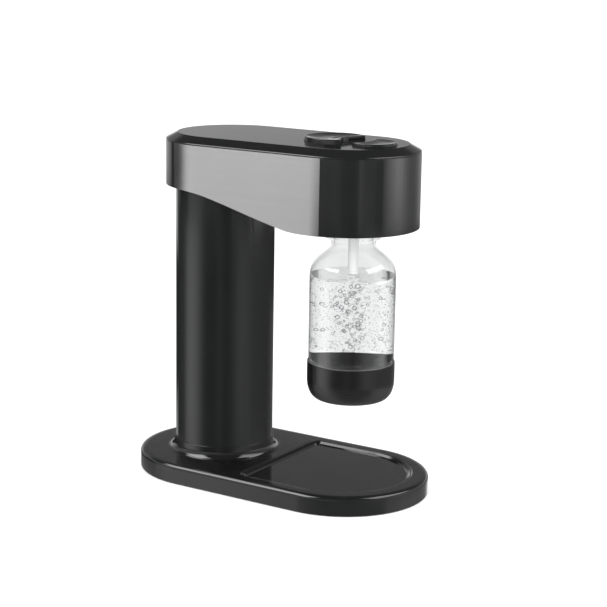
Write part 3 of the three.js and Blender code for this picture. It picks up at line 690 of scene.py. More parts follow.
# ------------------------------------------------------------------ base
b = Body()
base_line = stadium(BASE_W, -BASE_Y, BASE_Y, 72)
profile = fillet([(2.8, 9.0), (2.8, 1.0), (0.0, 1.0), (0.0, 10.0)], [0.3, 0.45], 8)
edge_r, roll_r, turn_at = 4.6, 22.0, 78
flat_at = edge_r * (1 - math.cos(math.radians(turn_at))) + roll_r * math.cos(math.radians(turn_at))
wall_z = BASE_TOP - edge_r * math.sin(math.radians(turn_at)) - roll_r * (1 - math.sin(math.radians(turn_at)))
profile += [(edge_r * (1 - math.cos(t)), wall_z + edge_r * math.sin(t)) for t in np.radians(np.linspace(0, turn_at, 14))]
profile += [(flat_at - roll_r * math.cos(t), BASE_TOP - roll_r * (1 - math.sin(t))) for t in np.radians(np.linspace(turn_at, 90, 7)[1:])]
outer = b.stack(rings_of(base_line, profile))
pocket_line = d_shape(82.5, -80.5, 6.0, 11.0)
pocket = b.stack(rings_of(pocket_line, fillet([(-1.4, BASE_TOP), (0.0, BASE_TOP), (0.0, 16.0), (3.0, 16.0)], [0.75, 0.4], 6)))
tilts = [(0.0, 1.0), (4.6, 4.0), (6.6, 24.0), (10.8, 44.0), (14.4, 76.0), (17.0, 88.0)]
flare, step_s = [(58.9, 36.6)], 0.34
for i in range(50):
    at_s = (i + 0.5) * step_s
    tilt = math.radians(float(np.interp(at_s, [q[0] for q in tilts], [q[1] for q in tilts])))
    flare.append((flare[-1][0] + step_s * math.sin(tilt), flare[-1][1] - step_s * math.cos(tilt)))
k_r, k_z = (67.2 - 58.9) / (flare[-1][0] - 58.9), (36.6 - BASE_TOP - 0.05) / (36.6 - flare[-1][1])
flare = [(58.9 + (r - 58.9) * k_r, 36.6 - (36.6 - z) * k_z) for r, z in reversed(flare)]
flare = [(68.8, BASE_TOP)] + flare[:-1] + fillet([(58.9, 36.6), (58.9, 37.5), (57.66, 37.5), (57.66, 21.5)], [0.4, 0.3], 4) + [(50.0, 21.5), (50.0, 9.0)]
col_line = circle(0.0, COL_Y, 0.0, 144)
flare_loops = b.stack(rings_of(col_line, [(-r, z) for r, z in flare]))
b.cap([outer[-1], pocket[0], flare_loops[0]])
b.cap([pocket[-1]])
b.cap([outer[0], flare_loops[-1]])
piece("base_shell", b, "machine", GLOSS, ("base_housing",), weighted=True)

# plate that closes the base from below, with countersunk screw holes
b = Body()
plate_line = stadium(95.9, -178.4, 178.4, 72)
plate = b.stack(rings_of(plate_line, fillet([(3.0, 2.3), (0.0, 2.3), (0.0, 4.3), (3.0, 4.3)], [0.5, 0.3], 4)))
holes = []
for x, y in ((70, 112), (-70, 112), (58, -118), (-58, -118), (-41, 62), (41, 62)):
    holes.append(b.stack(rings_of(circle(x, y, 0.0, 28), [(-2.7, 2.3), (-2.1, 2.8), (-2.1, 4.1), (-2.3, 4.3)])))
b.cap([plate[0]] + [h[0] for h in holes])
b.cap([plate[-1]] + [h[-1] for h in holes])
piece("base_floor_plate", b, "machine", INNER, ("base_bottom_plate",))

# four screws that hold the plate: pan head with a cross recess, ridged shank
def plate_screw(x, y, length):
    b = Body()
    around = [(math.cos(2 * math.pi * k / 40), math.sin(2 * math.pi * k / 40)) for k in range(40)]
    line = [(2.3, 1.05), (2.75, 1.12), (3.1, 1.3), (3.25, 1.52), (3.3, 1.75), (3.3, 2.0), (1.45, 2.0)]
    z = 2.6
    while z < 2.0 + length - 1.6:
        line += [(1.22, z), (1.48, z + 0.4)]
        z += 0.8
    line += [(1.22, z), (0.9, 2.0 + length - 0.5), (0.3, 2.0 + length)]
    loops = b.stack([[(x + r * c, y + r * s, h) for c, s in around] for r, h in line])
    w, a = 0.5, 1.9
    def cross(k, h):
        return [(x + u * k, y + v * k, h) for u, v in ((w, w), (w, a), (-w, a), (-w, w), (-a, w), (-a, -w), (-w, -w), (-w, -a), (w, -a), (w, -w), (a, -w), (a, w))]
    recess = b.stack([cross(1.0, 1.05), cross(0.72, 1.6)])
    b.cap([loops[0], recess[0]])
    b.f += [tuple(loops[-1]), tuple(recess[-1])]
    return b


for n, x, y, length in (("rear_right", 70, 112, 13), ("rear_left", -70, 112, 13), ("front_right", 58, -118, 5.2), ("front_left", -58, -118, 5.2)):
    piece("plate_screw_" + n, plate_screw(x, y, length), "machine", STEEL, ("base_screw_" + n,), sharp=30)

# feet: turned pads with two shallow rings underneath
foot = turned(
    fillet([(0, 0.5), (3.2, 0.5), (3.2, 0.0), (5.2, 0.0), (5.2, 0.5), (6.6, 0.5), (6.6, 0.0), (9.0, 0.0), (9.0, 2.0), (0, 2.0)],
           [0.1, 0.15, 0.15, 0.1, 0.1, 0.15, 0.6, 0.3], 4), 0, 0, 56)
for n, x, y in [("foot_front_left", -62, -140), ("foot_front_right", 62, -140),
                ("foot_rear_left", -62, 140), ("foot_rear_right", 62, 140)]:
    piece(n + "_pad", Body().add(foot, (x, y, 0)), "machine", RUBBER, (n,))

# drip tray: rolled rim, sloping wall, flat floor
b = Body()
tray_line = d_shape(82.15, -80.5, 5.65, 10.65, 88, 16)
profile = fillet([(3.0, 16.3), (0.0, 16.3), (0.0, 22.4), (1.6, 22.4), (4.9, 20.1), (5.9, 18.2), (9.0, 18.2)],
                 [0.4, 0.55, 0.9, 1.0, 0.8], 8)
loops = b.stack(rings_of(tray_line, profile))
b.cap([loops[0]])
b.cap([loops[-1]])
piece("drip_tray_dish", b, "drip_tray", GLOSS, ("drip_tray",), weighted=True)

# ------------------------------------------------------------------ column
def column_part(quads, r_out, r_in, closed_turns=()):
    """Curved wall made of (angle, z) quads: outside, inside and the rims between them."""
    b = Body()
    ids = {}

    def at(t, z, r):
        key = (round(t % 360.0, 4), round(z, 4), r)
        if key not in ids:
            a = math.radians(t)
            ids[key] = len(b.v)
            b.v.append((r * math.sin(a), COL_Y + r * math.cos(a), z))
        return ids[key]

    count = {}
    for t0, t1, z0, z1 in quads:
        cs = [(t0, z0), (t1, z0), (t1, z1), (t0, z1)]
        b.f.append(tuple(at(t, z, r_out) for t, z in cs))
        b.f.append(tuple(at(t, z, r_in) for t, z in reversed(cs)))
        for k in range(4):
            p, q = cs[k], cs[(k + 1) % 4]
            p2, q2 = (round(p[0] % 360, 4), p[1]), (round(q[0] % 360, 4), q[1])
            key = frozenset((p2, q2))
            count.setdefault(key, []).append((p, q))
    for key, uses in count.items():
        if len(uses) == 1:
            p, q = uses[0]
            b.f.append((at(*q, r_out), at(*p, r_out), at(*p, r_in), at(*q, r_in)))
    return b


def spans(a, b_, n):
    v = np.linspace(a, b_, n + 1)
    return list(zip(v[:-1], v[1:]))


quads = []
for t0, t1 in spans(55, 305, 130):
    for z0, z1 in ((21.8, 38.3), (38.3, 339.6), (339.6, 346.0)):
        quads.append((t0, t1, z0, z1))
for t0, t1 in spans(-55, 55, 56):
    for z0, z1 in ((21.8, 38.3), (339.6, 346.0)):
        quads.append((t0, t1, z0, z1))
b = column_part(quads, COL_R, COL_R - COL_WALL)
piece("column_tube", b, "machine", SATIN, ("column_shell",), bevel=0.35)

quads = []
for t0, t1 in spans(-54.7, 54.7, 56):
    quads.append((t0, t1, 38.6, 339.3))
b = column_part(quads, COL_R, COL_R - COL_WALL)


def rib(z, r0, r1, half_h, half_deg, n=20, taper=2.0):
    """Rounded bar along the column's wall."""
    body = Body()
    sec = []
    for k in range(9):
        a = -math.pi / 2 + math.pi * k / 8
        sec.append((r1 - half_h * 0.9 + half_h * 0.9 * math.cos(a), half_h * math.sin(a)))
    sec = [(r0, -half_h)] + sec + [(r0, half_h)]
    rings = []
    for i in range(n + 1):
        t = -half_deg + 2 * half_deg * i / n
        end = min(1.0, (half_deg - abs(t)) / taper)
        s = 0.25 + 0.75 * math.sin(end * math.pi / 2)
        a = math.radians(t)
        rings.append([((r0 + (r - r0) * s) * math.sin(a), COL_Y + (r0 + (r - r0) * s) * math.cos(a), z + dz * s) for r, dz in sec])
    lps = [body.loop(r) for r in rings]
    for p, q in zip(lps, lps[1:]):
        body.skin(p, q)
    body.f.append(tuple(lps[0]))
    body.f.append(tuple(reversed(lps[-1])))
    return body


for z in (296, 303, 310):
    b.add(rib(z, COL_R - 0.6, COL_R + 1.38, 1.1, 15.1))
for z in (60, 200):
    b.add(rib(z, COL_R - COL_WALL + 0.5, COL_R - 8.0, 1.0, 46.0, 40))
piece("rear_cover_panel", b, "rear_cover", SATIN, ("rear_cover",), bevel=0.35)

# ------------------------------------------------------------------ head
YR, YF = HEAD_REAR - HEAD_R, HEAD_FRONT + HEAD_R


def head_columns(recess=False, n=72):
    """Points round the head's outline: centre, direction and extra inset, anticlockwise from the right rear."""
    def arc_angle(yc, y):
        return math.degrees(math.asin((y - yc) / HEAD_R))
    rear = sorted({round(180.0 * k / n, 4) for k in range(n + 1)}
                  | ({round(arc_angle(YR, PANEL_REAR + 0.3), 4), round(180 - arc_angle(YR, PANEL_REAR + 0.3), 4)} if recess else set()))
    front = sorted({round(180 + 180.0 * k / n, 4) for k in range(n + 1)}
                   | ({round(180 - arc_angle(YF, PANEL_FRONT - 0.3), 4), round(360 + arc_angle(YF, PANEL_FRONT - 0.3), 4)} if recess else set()))
    ys = [YR + (YF - YR) * k / 40 for k in range(1, 40)]
    cols = []
    for a in rear:
        cols.append((0.0, YR, math.cos(math.radians(a)), math.sin(math.radians(a))))
    for y in ys:
        cols.append((0.0, y, -1.0, 0.0))
    for a in front:
        cols.append((0.0, YF, math.cos(math.radians(a)), math.sin(math.radians(a))))
    for y in reversed(ys):
        cols.append((0.0, y, 1.0, 0.0))
    out = []
    for cx, cy, nx, ny in cols:
        y = cy + ny * HEAD_R
        if not recess:
            out.append((cx, cy, nx, ny, 0.0))
        elif abs(y - (PANEL_REAR + 0.3)) < 0.02 or abs(y - (PANEL_FRONT - 0.3)) < 0.02:
            # a step: inside first or outside first, going anticlockwise
            into = (nx < 0) == (y > 0)
            pair = [(cx, cy, nx, ny, 0.0), (cx, cy, nx, ny, 1.1)]
            out += pair if into else pair[::-1]
        else:
            out.append((cx, cy, nx, ny, 1.1 if PANEL_FRONT - 0.3 < y < PANEL_REAR + 0.3 else 0.0))
    return out


def head_ring(cols, d, z_of, use_extra=True):
    pts = []
    for cx, cy, nx, ny, e in cols:
        q = HEAD_R - d - (e if use_extra else 0.0)
        x, y = cx + q * nx, cy + q * ny
        pts.append((x, y, z_of(x, y)))
    return pts


b = Body()
cols = head_columns(True)
rings = [head_ring(cols, 2.2, lambda x, y: edge_z(y))]
for k in range(7):
    a = math.pi / 2 * k / 6
    rings.append(head_ring(cols, 0.8 * (1 - math.sin(a)), lambda x, y, a=a: edge_z(y) + 0.8 * (1 - math.cos(a))))
for k in range(4):
    a = math.pi / 2 * k / 3
    rings.append(head_ring(cols, 0.3 * (1 - math.cos(a)), lambda x, y, a=a: WALL_TOP - 0.3 * (1 - math.sin(a))))
rings.append(head_ring(cols, 3.7, lambda x, y: WALL_TOP, False))
rings.append(head_ring(cols, 3.7, lambda x, y: edge_z(y) + 3.0, False))
loops = b.stack(rings)
neck = circle(0.0, COL_Y, 0.0, 144)
hole_a = b.stack([[(x, y, edge_z(y) + dz) for x, y in neck(-r)] for r, dz in ((58.3, 0.0), (57.85, 0.12), (57.66, 0.5))]
                 + [[(x, y, 348.0) for x, y in neck(-57.66)], [(x, y, 348.0) for x, y in neck(-60.06)],
                    [(x, y, edge_z(y) + 3.0) for x, y in neck(-60.06)]])
sock = circle(0.0, BOT_Y, 0.0, 112)
hole_b = b.stack([[(x, y, edge_z(y) + dz) for x, y in sock(-r)] for r, dz in ((35.2, 0.0), (34.75, 0.12), (34.6, 0.5), (34.6, 3.0))])
grid = [(x, y) for x in range(-70, 71, 14) for y in np.arange(-76, 100, 8.0)]
b.cap([loops[0], hole_a[0], hole_b[0]], lambda x, y: edge_z(y), grid)
b.cap([loops[-1], hole_a[-1], hole_b[-1]], lambda x, y: edge_z(y) + 3.0, grid)
piece("head_shell", b, "machine", GLOSS, ("head_housing",), weighted=True)

# steel side panels, 0.8 mm sheet
def panel(r_out=HEAD_R, r_in=HEAD_R - 0.8):
    a_rear = 180 - math.degrees(math.asin((PANEL_REAR - YR) / HEAD_R))
    a_front = 180 - math.degrees(math.asin((PANEL_FRONT - YF) / HEAD_R))
    cols = []
    for k in range(25):
        a = math.radians(a_rear + (180 - a_rear) * k / 24)
        cols.append((0, YR, math.cos(a), math.sin(a)))
    for k in range(1, 60):
        cols.append((0, YR + (YF - YR) * k / 60, -1.0, 0.0))
    for k in range(13):
        a = math.radians(180 + (a_front - 180) * k / 12)
        cols.append((0, YF, math.cos(a), math.sin(a)))
    b = Body()

    def line(r, zf):
        return b.loop([(cx + r * nx, cy + r * ny, zf(cy + r_out * ny)) for cx, cy, nx, ny in cols])
    lo, hi = (lambda y: edge_z(y)), (lambda y: WALL_TOP)
    o0, o1 = line(r_out, lo), line(r_out, hi)
    i0, i1 = line(r_in, lo), line(r_in, hi)
    b.skin(o0, o1, False)
    b.skin(i1, i0, False)
    b.skin(o1, i1, False)
    b.skin(i0, o0, False)
    b.f.append((o0[0], i0[0], i1[0], o1[0]))
    b.f.append((o0[-1], o1[-1], i1[-1], i0[-1]))
    return b


left = panel()
piece("panel_left", left, "machine", PANEL, ("side_panel_left",), bevel=0.16, weighted=True)
piece("panel_right", left.mirrored(), "machine", PANEL, ("side_panel_right",), bevel=0.16, weighted=True)

# top cover
b = Body()
lid_line = stadium(HEAD_R, HEAD_FRONT, HEAD_REAR, 84)
profile = fillet(
    [(16.6, 396.8), (14.4, 396.8), (6.9, 391.3), (6.9, 386.6), (4.1, 386.6), (4.1, LID_Z), (0.0, LID_Z),
     (0.0, 392.9), (13.3, PLATE_Z), (16.6, PLATE_Z)],
    [0, 0, 0.3, 0.3, 0.2, 0.12, 1.5, 0.5], 8)
lid = b.stack(rings_of(lid_line, profile))
big_hole = bitten(BTN_Y, 35.5, REL_Y, 34.5)
small_hole = bitten(REL_Y, 27.5, BTN_Y, 41.5)
hole_profile = fillet([(-1.2, PLATE_Z), (0.0, PLATE_Z), (0.0, 396.8)], [0.45], 5)
h1 = b.stack(rings_of(big_hole, hole_profile))
h2 = b.stack(rings_of(small_hole, hole_profile))
b.cap([lid[-1], h1[0], h2[0]])
b.cap([lid[0], h1[-1], h2[-1]])
piece("top_cover", b, "machine", GLOSS, ("head_top_cover",), weighted=True)


# ------------------------------------------------------------------ buttons
def button(outline, z_top, round_r, centre, flange, draft, extra_turned):
    """A button whose dished top follows z_top(x, y)."""
    b = Body()
    rings = [[(x, y, 394.2) for x, y in outline(-flange + 2.5)],
             [(x, y, 394.2) for x, y in outline(-flange + 0.3)],
             [(x, y, 394.5) for x, y in outline(-flange)],
             [(x, y, 396.2) for x, y in outline(-flange)],
             [(x, y, 396.5) for x, y in outline(-flange + 0.3)],
             [(x, y, 396.5) for x, y in outline(0.0)],
             [(x, y, 398.0) for x, y in outline(0.0)]]
    for k in range(9):
        a = math.pi / 2 * k / 8
        d = draft + round_r * (1 - math.cos(a))
        rings.append([(x, y, z_top(x, y) - round_r * (1 - math.sin(a))) for x, y in outline(d)])
    rim = outline(draft + round_r)
    c = np.array(centre)
    for s in list(np.linspace(0.985, 0.8, 12)) + list(np.linspace(0.77, 0.04, 26)):
        ring = []
        for p in rim:
            x, y = c + (np.array(p) - c) * s
            ring.append((x, y, z_top(x, y)))
        rings.append(ring)
    lps = b.stack(rings)
    b.fan(lps[-1], (c[0], c[1], z_top(*c)))
    b.fan(lps[0], (c[0], c[1], 394.2))
    b.add(extra_turned)
    return b


def dished(yc, r, yb, rb, z0, rim, width, depth):
    """Top of a button: a narrow flat rim that follows the outline, and a shallow bowl inside it."""
    def height(x, y):
        p, q = r - math.hypot(x, y - yc), math.hypot(x, y - yb) - rb
        inside = (p + q - math.sqrt((p - q) ** 2 + 25.0)) / 2
        t = min(1.0, max(0.0, (inside - rim) / width))
        soft = t * t / (t + 0.05)
        return z0 - depth * (1 - (1 - soft / 0.9523809) ** 2 if soft < 0.9523809 else 1.0)
    return height


big_top = dished(BTN_Y, 35.0, REL_Y, 35.0, 405.3, 1.5, 19.0, 2.2)
small_top = dished(REL_Y, 27.0, BTN_Y, 42.0, 403.0, 1.2, 13.0, 1.3)
plunger = turned(fillet([(0, 384.4), (6, 384.4), (6, 394.4), (0, 394.4)], [0.5, 0.1], 4), 0, BTN_Y, 48)
stem = turned(fillet([(0, 376.3), (2.9, 376.3), (2.9, 394.4), (0, 394.4)], [0.4, 0.1], 4), 0, -119.0, 32)
piece("button_large", button(bitten(BTN_Y, 35.0, REL_Y, 35.0, 120, 64), big_top, 0.7, (0.0, -58.0), 1.6, 0.45, plunger),
      "carbonation_button", GLOSS, ("carbonation_button",))
piece("button_small", button(bitten(REL_Y, 27.0, BTN_Y, 42.0, 100, 56), small_top, 0.6, (0.0, -124.0), 1.4, 0.3, stem),
      "release_button", GLOSS, ("release_button",))

# return springs: closed end coils
def spring(r, wire, z0, z1, turns, x, y):
    b, rings, n = Body(), [], int(turns * 36)
    rise = [0.32 + 0.68 * step_up(min(i, n - i) / 36.0) for i in range(n)]
    total, h = sum(rise), 0.0
    for i in range(n + 1):
        a = 2 * math.pi * i / 36.0
        u, z = Vector((math.cos(a), math.sin(a), 0)), z0 + wire + (z1 - z0 - 2 * wire) * h / total
        rings.append([(x + (r + wire * math.cos(k)) * u.x, y + (r + wire * math.cos(k)) * u.y, z + wire * math.sin(k))
                      for k in (2 * math.pi * j / 10 for j in range(10))])
        h += rise[i] if i < n else 0.0
    made = b.stack(rings)
    b.f += [tuple(made[0]), tuple(made[-1])]
    return b


def step_up(x):
    t = min(1.0, max(0.0, x))
    return t * t * (3 - 2 * t)


for n, x in (("button_spring_left", -21), ("button_spring_right", 21)):
    coil = piece(n + "_coil", spring(4.2, 0.5, 382.4, 393.8, 5.0, x, BTN_Y + 2), "machine", STEEL, (n,), sharp=80)
    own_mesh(coil)
coil = piece("release_spring_coil", spring(5.2, 0.45, 382.4, 393.8, 5.0, 0, -119.0), "machine", STEEL, ("release_spring",), sharp=80)
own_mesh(coil)

# ------------------------------------------------------------------ bottle
body_curve = smooth_line([(48.5, 244), (48.5, 250), (47.9, 256.5), (46.3, 262.3), (42.9, 268.4), (38.3, 273.4), (32.6, 278.2), (28.0, 282.2), (25.5, 285.6), (24.6, 289.0)], 7)
low_curve = smooth_line([(10, 118.7), (22, 118.4), (33, 120.2), (41.4, 126), (46.2, 135), (47.0, 144), (47.0, 153.0)], 7)
outer_wall = (
    [(0, 119.2), (5, 119.0)] + low_curve
    + fillet([(47.0, 153.2), (47.0, 153.85), (48.5, 153.95), (48.5, 158)], [0.1, 0.5], 5)
    + [(48.5, 185), (48.5, 214)] + body_curve
    + fillet([(24.6, 289.4), (25.5, 289.9), (25.5, 290.6), (24.6, 291.1), (24.6, 291.4), (30.2, 293.9), (30.2, 295.4), (24.2, 296.2), (24.1, 300)], [0.2, 0.2, 0.2, 0.1, 0.5, 0.5, 0.3], 5)
    + [(24.0, 310), (23.9, 322)] + fillet([(23.8, 330), (23.8, 333.2), (21.0, 333.2), (21.1, 328)], [0.8, 0.8], 4)
)
inner_curve = smooth_line([(21.9, 293), (22.4, 287.8), (24.2, 283.8), (27.0, 280.6), (31.8, 276.9), (37.4, 272.4), (41.9, 267.6), (45.3, 261.8), (46.9, 256.3), (47.5, 250), (47.5, 244)], 7)
inner_low = smooth_line([(46.0, 153.0), (46.0, 144.2), (45.2, 135.4), (40.6, 126.8), (32.6, 121.3), (22, 119.5), (10, 119.8)], 7)
inner_wall = [(21.6, 310)] + inner_curve + [(47.5, 214), (47.5, 185)] + fillet([(47.5, 160), (47.5, 157.6), (46.0, 154.8), (46.0, 153.4)], [1.5, 0.8], 5) + inner_low + [(5, 120.1), (0, 120.3)]
piece("bottle_clear_shell", turned(outer_wall + inner_wall, 0, BOT_Y, 160), "bottle", CLEAR, ("bottle_shell",), sharp=50)

cup_curve = smooth_line([(36, 113.0), (39.4, 113.6), (42.8, 115.6), (46.2, 119.6), (48.3, 124.8), (49.3, 130.6), (49.5, 136.5), (49.5, 140.0)], 7)
cup_in = smooth_line([(47.4, 150.0), (47.4, 143.8), (46.6, 134.8), (41.7, 125.5), (33.2, 119.7), (22, 117.9), (12, 118.2)], 6)
cup_profile = (
    [(r, 140.0 - (140.0 - z) * 1.085) for r, z in
     [(0, 116.0), (8, 115.8), (16, 115.1), (22, 114.5)] + fillet([(24, 113.9), (27, 113.0), (31, 113.0), (36, 113.0)], [0.8, 0], 4)[1:-1]
     + cup_curve]
    + [(49.5, 144.0), (49.5, 148.0)]
    + fillet([(49.5, 151.0), (49.5, 153.6), (47.4, 153.6), (47.4, 151.0)], [0.22, 0.2], 5)
    + cup_in + [(0, 118.6)]
)
piece("bottle_cup", turned(cup_profile, 0, BOT_Y, 160), "bottle", GLOSS_CUP, ("bottle_base_cup",), sharp=45)

# water: fills the shell, with a raised rim where it meets the wall
water_side = [(r + 0.06, z) for r, z in reversed(inner_low)]
water_profile = (
    [(0, 120.24), (5, 120.04)] + [(r, z - 0.06) for r, z in water_side[:-1]]
    + [(46.06, 153.4)] + fillet([(46.06, 154.0), (46.06, 154.8), (47.56, 157.6), (47.56, 160)], [0.8, 1.5], 5)
    + [(47.56, 185), (47.56, 214), (47.54, 244), (47.40, 250), (47.10, WATER_TOP + 0.7)]
    + [(46.8, WATER_TOP + 0.45), (46.1, WATER_TOP + 0.22), (45.2, WATER_TOP + 0.08), (43.5, WATER_TOP), (30, WATER_TOP), (0, WATER_TOP)]
)
piece("bottle_water_fill", turned(water_profile, 0, BOT_Y, 160), "bottle", WATER, ("bottle_water",), sharp=60)


def bubbles():
    """Gas bubbles: a funnel under the jet, fine ones all through the water and on the wall."""
    rng = random.Random(5)
    ico = bmesh.new()
    bmesh.ops.create_icosphere(ico, subdivisions=2, radius=1.0)
    sv = [v.co.copy() for v in ico.verts]
    sf = [tuple(v.index for v in f.verts) for f in ico.faces]
    ico.free()
    tiny = bmesh.new()
    bmesh.ops.create_icosphere(tiny, subdivisions=1, radius=1.0)
    tv = [v.co.copy() for v in tiny.verts]
    tf = [tuple(v.index for v in f.verts) for f in tiny.faces]
    tiny.free()
    placed = []
    b, fine = Body(), Body()

    def put(to, x, y, z, r, gap=0.15):
        if math.hypot(x, y) + r > 46.7 or z + r > WATER_TOP - 0.4 or z - r < 124:
            return False
        for q in placed:
            if (q[0] - x) ** 2 + (q[1] - y) ** 2 + (q[2] - z) ** 2 < (q[3] + r + gap) ** 2:
                return False
        placed.append((x, y, z, r))
        vs, fs = (sv, sf) if to is b else (tv, tf)
        i = len(to.v)
        to.v.extend((x + r * v.x, BOT_Y + y + r * v.y, z + r * v.z) for v in vs)
        to.f.extend(tuple(i + k for k in f) for f in fs)
        return True

    # funnel: wide near the surface, narrowing to a point low down
    n = 0
    while n < 140:
        t = rng.random() ** 0.95
        z = 147 + (239 - 147) * t
        w = 1.5 + 20 * t ** 0.7
        a, q = rng.uniform(0, 2 * math.pi), w * rng.random() ** 0.6
        r = rng.choice([0.9, 1.0, 1.1, 1.2, 1.4, 1.7, 2.1, 2.6]) * (0.8 + 0.2 * t)
        if put(b, q * math.cos(a), q * math.sin(a), z, r, 0.5):
            n += 1
    # some on the wall and spread out
    n = 0
    while n < 110:
        a = rng.uniform(0, 2 * math.pi)
        q = 46.4 - rng.random() ** 2 * 12
        z = rng.uniform(158, 249)
        r = rng.choice([0.8, 0.9, 1.0, 1.2, 1.6, 2.1])
        if put(b, (q - r) * math.cos(a), (q - r) * math.sin(a), z, r, 0.5):
            n += 1
    # fine fizz
    n = 0
    while n < 1000:
        a = rng.uniform(0, 2 * math.pi)
        q = 46.4 * rng.random() ** 0.45
        z = 150 + 100 * rng.random() ** 0.85
        if put(fine, q * math.cos(a), q * math.sin(a), z, rng.uniform(0.36, 0.58), 0.0):
            n += 1
    return b, fine


big_ones, small_ones = bubbles()
piece("bottle_bubbles", big_ones, "bottle", BUBBLES, (), sharp=180)
piece("bottle_fine_bubbles", small_ones, "bottle", FINE_BUBBLES, (), sharp=180)

# ------------------------------------------------------------------ gas tube, jet and collar
tube = (
    fillet([(3.4, 256.7), (5.8, 256.7), (5.8, 262)], [0.5], 4) + [(5.8, 280)]
    + smooth_line([(5.8, 292), (5.85, 296), (6.5, 299.2), (8.6, 302.2), (10.4, 304.6), (10.6, 307)], 5)
    + fillet([(10.6, 320), (10.6, 339.2), (4.0, 339.2), (4.0, 346.5), (2.0, 346.5), (2.0, 262.7), (3.4, 262.7)], [0.5, 0.1, 0.3, 0.3, 0.1], 3)
)
piece("gas_tube", turned(tube, 0, BOT_Y, 72), "machine", WHITE, ("nozzle_tube",), sharp=45)
jet = fillet([(0.6, 252.7), (3.6, 252.7), (5.4, 254.3), (5.4, 256.4), (3.1, 256.4), (3.1, 262.3), (0.6, 262.3)], [0.4, 0.5, 0.3, 0.1, 0.1], 4)
piece("gas_jet", turned(jet, 0, BOT_Y, 56), "machine", WHITE, ("nozzle_jet",), sharp=45)
collar = fillet(
    [(30.8, 308.6), (31.4, 306.9), (34.2, 306.9), (34.2, 340.0), (13.0, 340.0), (13.0, 337.0), (30.8, 337.0),
     (30.8, 325.0), (25.6, 325.0), (25.6, 322.0), (30.8, 322.0), (30.8, 308.6)],
    [0.3, 0.4, 0.4, 0.3, 0.3, 0.3, 0.2, 0.4, 0.4, 0.2], 4)
piece("bottle_collar", turned(collar, 0, BOT_Y, 112), "machine", INNER, ("bottle_socket",), sharp=40)

# ------------------------------------------------------------------ gas cylinder, seen when the rear cover is off
cyl = (
    [(0, 16.6), (21, 16.6)] + smooth_line([(21, 16.6), (25, 14.1), (27.6, 15.2), (29.4, 17.4), (30.0, 20.5)], 5)
    + [(30.0, 60), (30.0, 160), (30.0, 260)]
    + smooth_line([(30.0, 288), (29.7, 294), (28.2, 302), (24.6, 310.6), (19.4, 318.6), (15.6, 323.6), (14.2, 328)], 6)
    + fillet([(14.0, 331), (14.0, 336.0), (8.6, 336.0), (8.6, 330)], [0.8, 0.4], 4) + [(8.6, 326), (27.0, 290), (27.0, 22), (0, 20.5)]
)
piece("gas_bottle", turned(cyl, 0, COL_Y, 112), "gas_cylinder", PAINT, ("gas_cylinder",), sharp=50)

# ------------------------------------------------------------------ floor
bm = bmesh.new()
n, size = 40, 9.0
grid_v = [[bm.verts.new(((i / n - 0.5) * size, (j / n - 0.5) * size, 0.0)) for j in range(n + 1)] for i in range(n + 1)]
for i in range(n):
    for j in range(n):
        bm.faces.new((grid_v[i][j], grid_v[i + 1][j], grid_v[i + 1][j + 1], grid_v[i][j + 1]))
me = bpy.data.meshes.new("floor")
bm.to_mesh(me)
bm.free()
floor_mat = Mat("floor_paper")
floor_mat.set(rough=0.9, spec=0.0)
fibre = floor_mat.noise(260.0, 4.0, 0.6)
floor_mat.color(floor_mat.ramp(fibre, [(0.3, (0.95, 0.95, 0.95)), (0.7, (0.97, 0.97, 0.97))]))
me.materials.append(floor_mat.m)
floor = bpy.data.objects.new("floor", me)
bpy.context.scene.collection.objects.link(floor)
floor.visible_glossy = False

# ------------------------------------------------------------------ studio: white all round, panels of light and dark for the reflections
world = bpy.data.worlds.new("studio")
bpy.context.scene.world = world
world.use_nodes = True
wn = world.node_tree.nodes
wn["Background"].inputs["Color"].default_value = (1.0, 1.0, 1.0, 1.0)
wn["Background"].inputs["Strength"].default_value = 1.25


def lerp_table(table, x):
    for (x0, v0), (x1, v1) in zip(table, table[1:]):
        if x0 <= x <= x1:
            t = (x - x0) / (x1 - x0)
            t = t * t * (3 - 2 * t)
            return v0 + (v1 - v0) * t
    return table[-1][1]


# how bright the tent is, by azimuth (degrees from +X towards +Y), in bands from the floor up
LOWEST = [(0, 0.5), (5, 0.8), (18, 1.1), (30, 0.9), (46, 0.56), (60, 0.40), (74, 0.40), (88, 0.44), (101, 0.52), (115, 0.76), (129, 1.12),
          (143, 1.28), (150, 0.95), (158, 0.62), (170, 0.45), (182, 0.34), (195, 0.29), (235, 0.31), (258, 0.32), (266, 0.42), (277, 0.84),
          (290, 0.86), (300, 0.92), (310, 0.76), (320, 0.64), (330, 0.49), (340, 0.40), (355, 0.36), (360, 0.5)]
LOW = [(0, 0.06), (10, 0.04), (30, 0.02), (54, 0.02), (71, 0.05), (87, 0.09), (101, 0.18), (108, 0.42), (114, 0.85), (121, 1.25), (129, 1.48),
       (137, 1.45), (145, 1.20), (152, 0.85), (160, 0.42), (167, 0.17), (176, 0.09), (188, 0.08), (196, 0.16), (203, 0.22), (211, 0.13),
       (219, 0.10), (228, 0.18), (236, 0.34), (246, 0.58), (254, 0.68), (264, 0.64), (273, 0.56), (287, 0.40), (304, 0.34), (320, 0.27),
       (337, 0.18), (354, 0.10), (360, 0.06)]
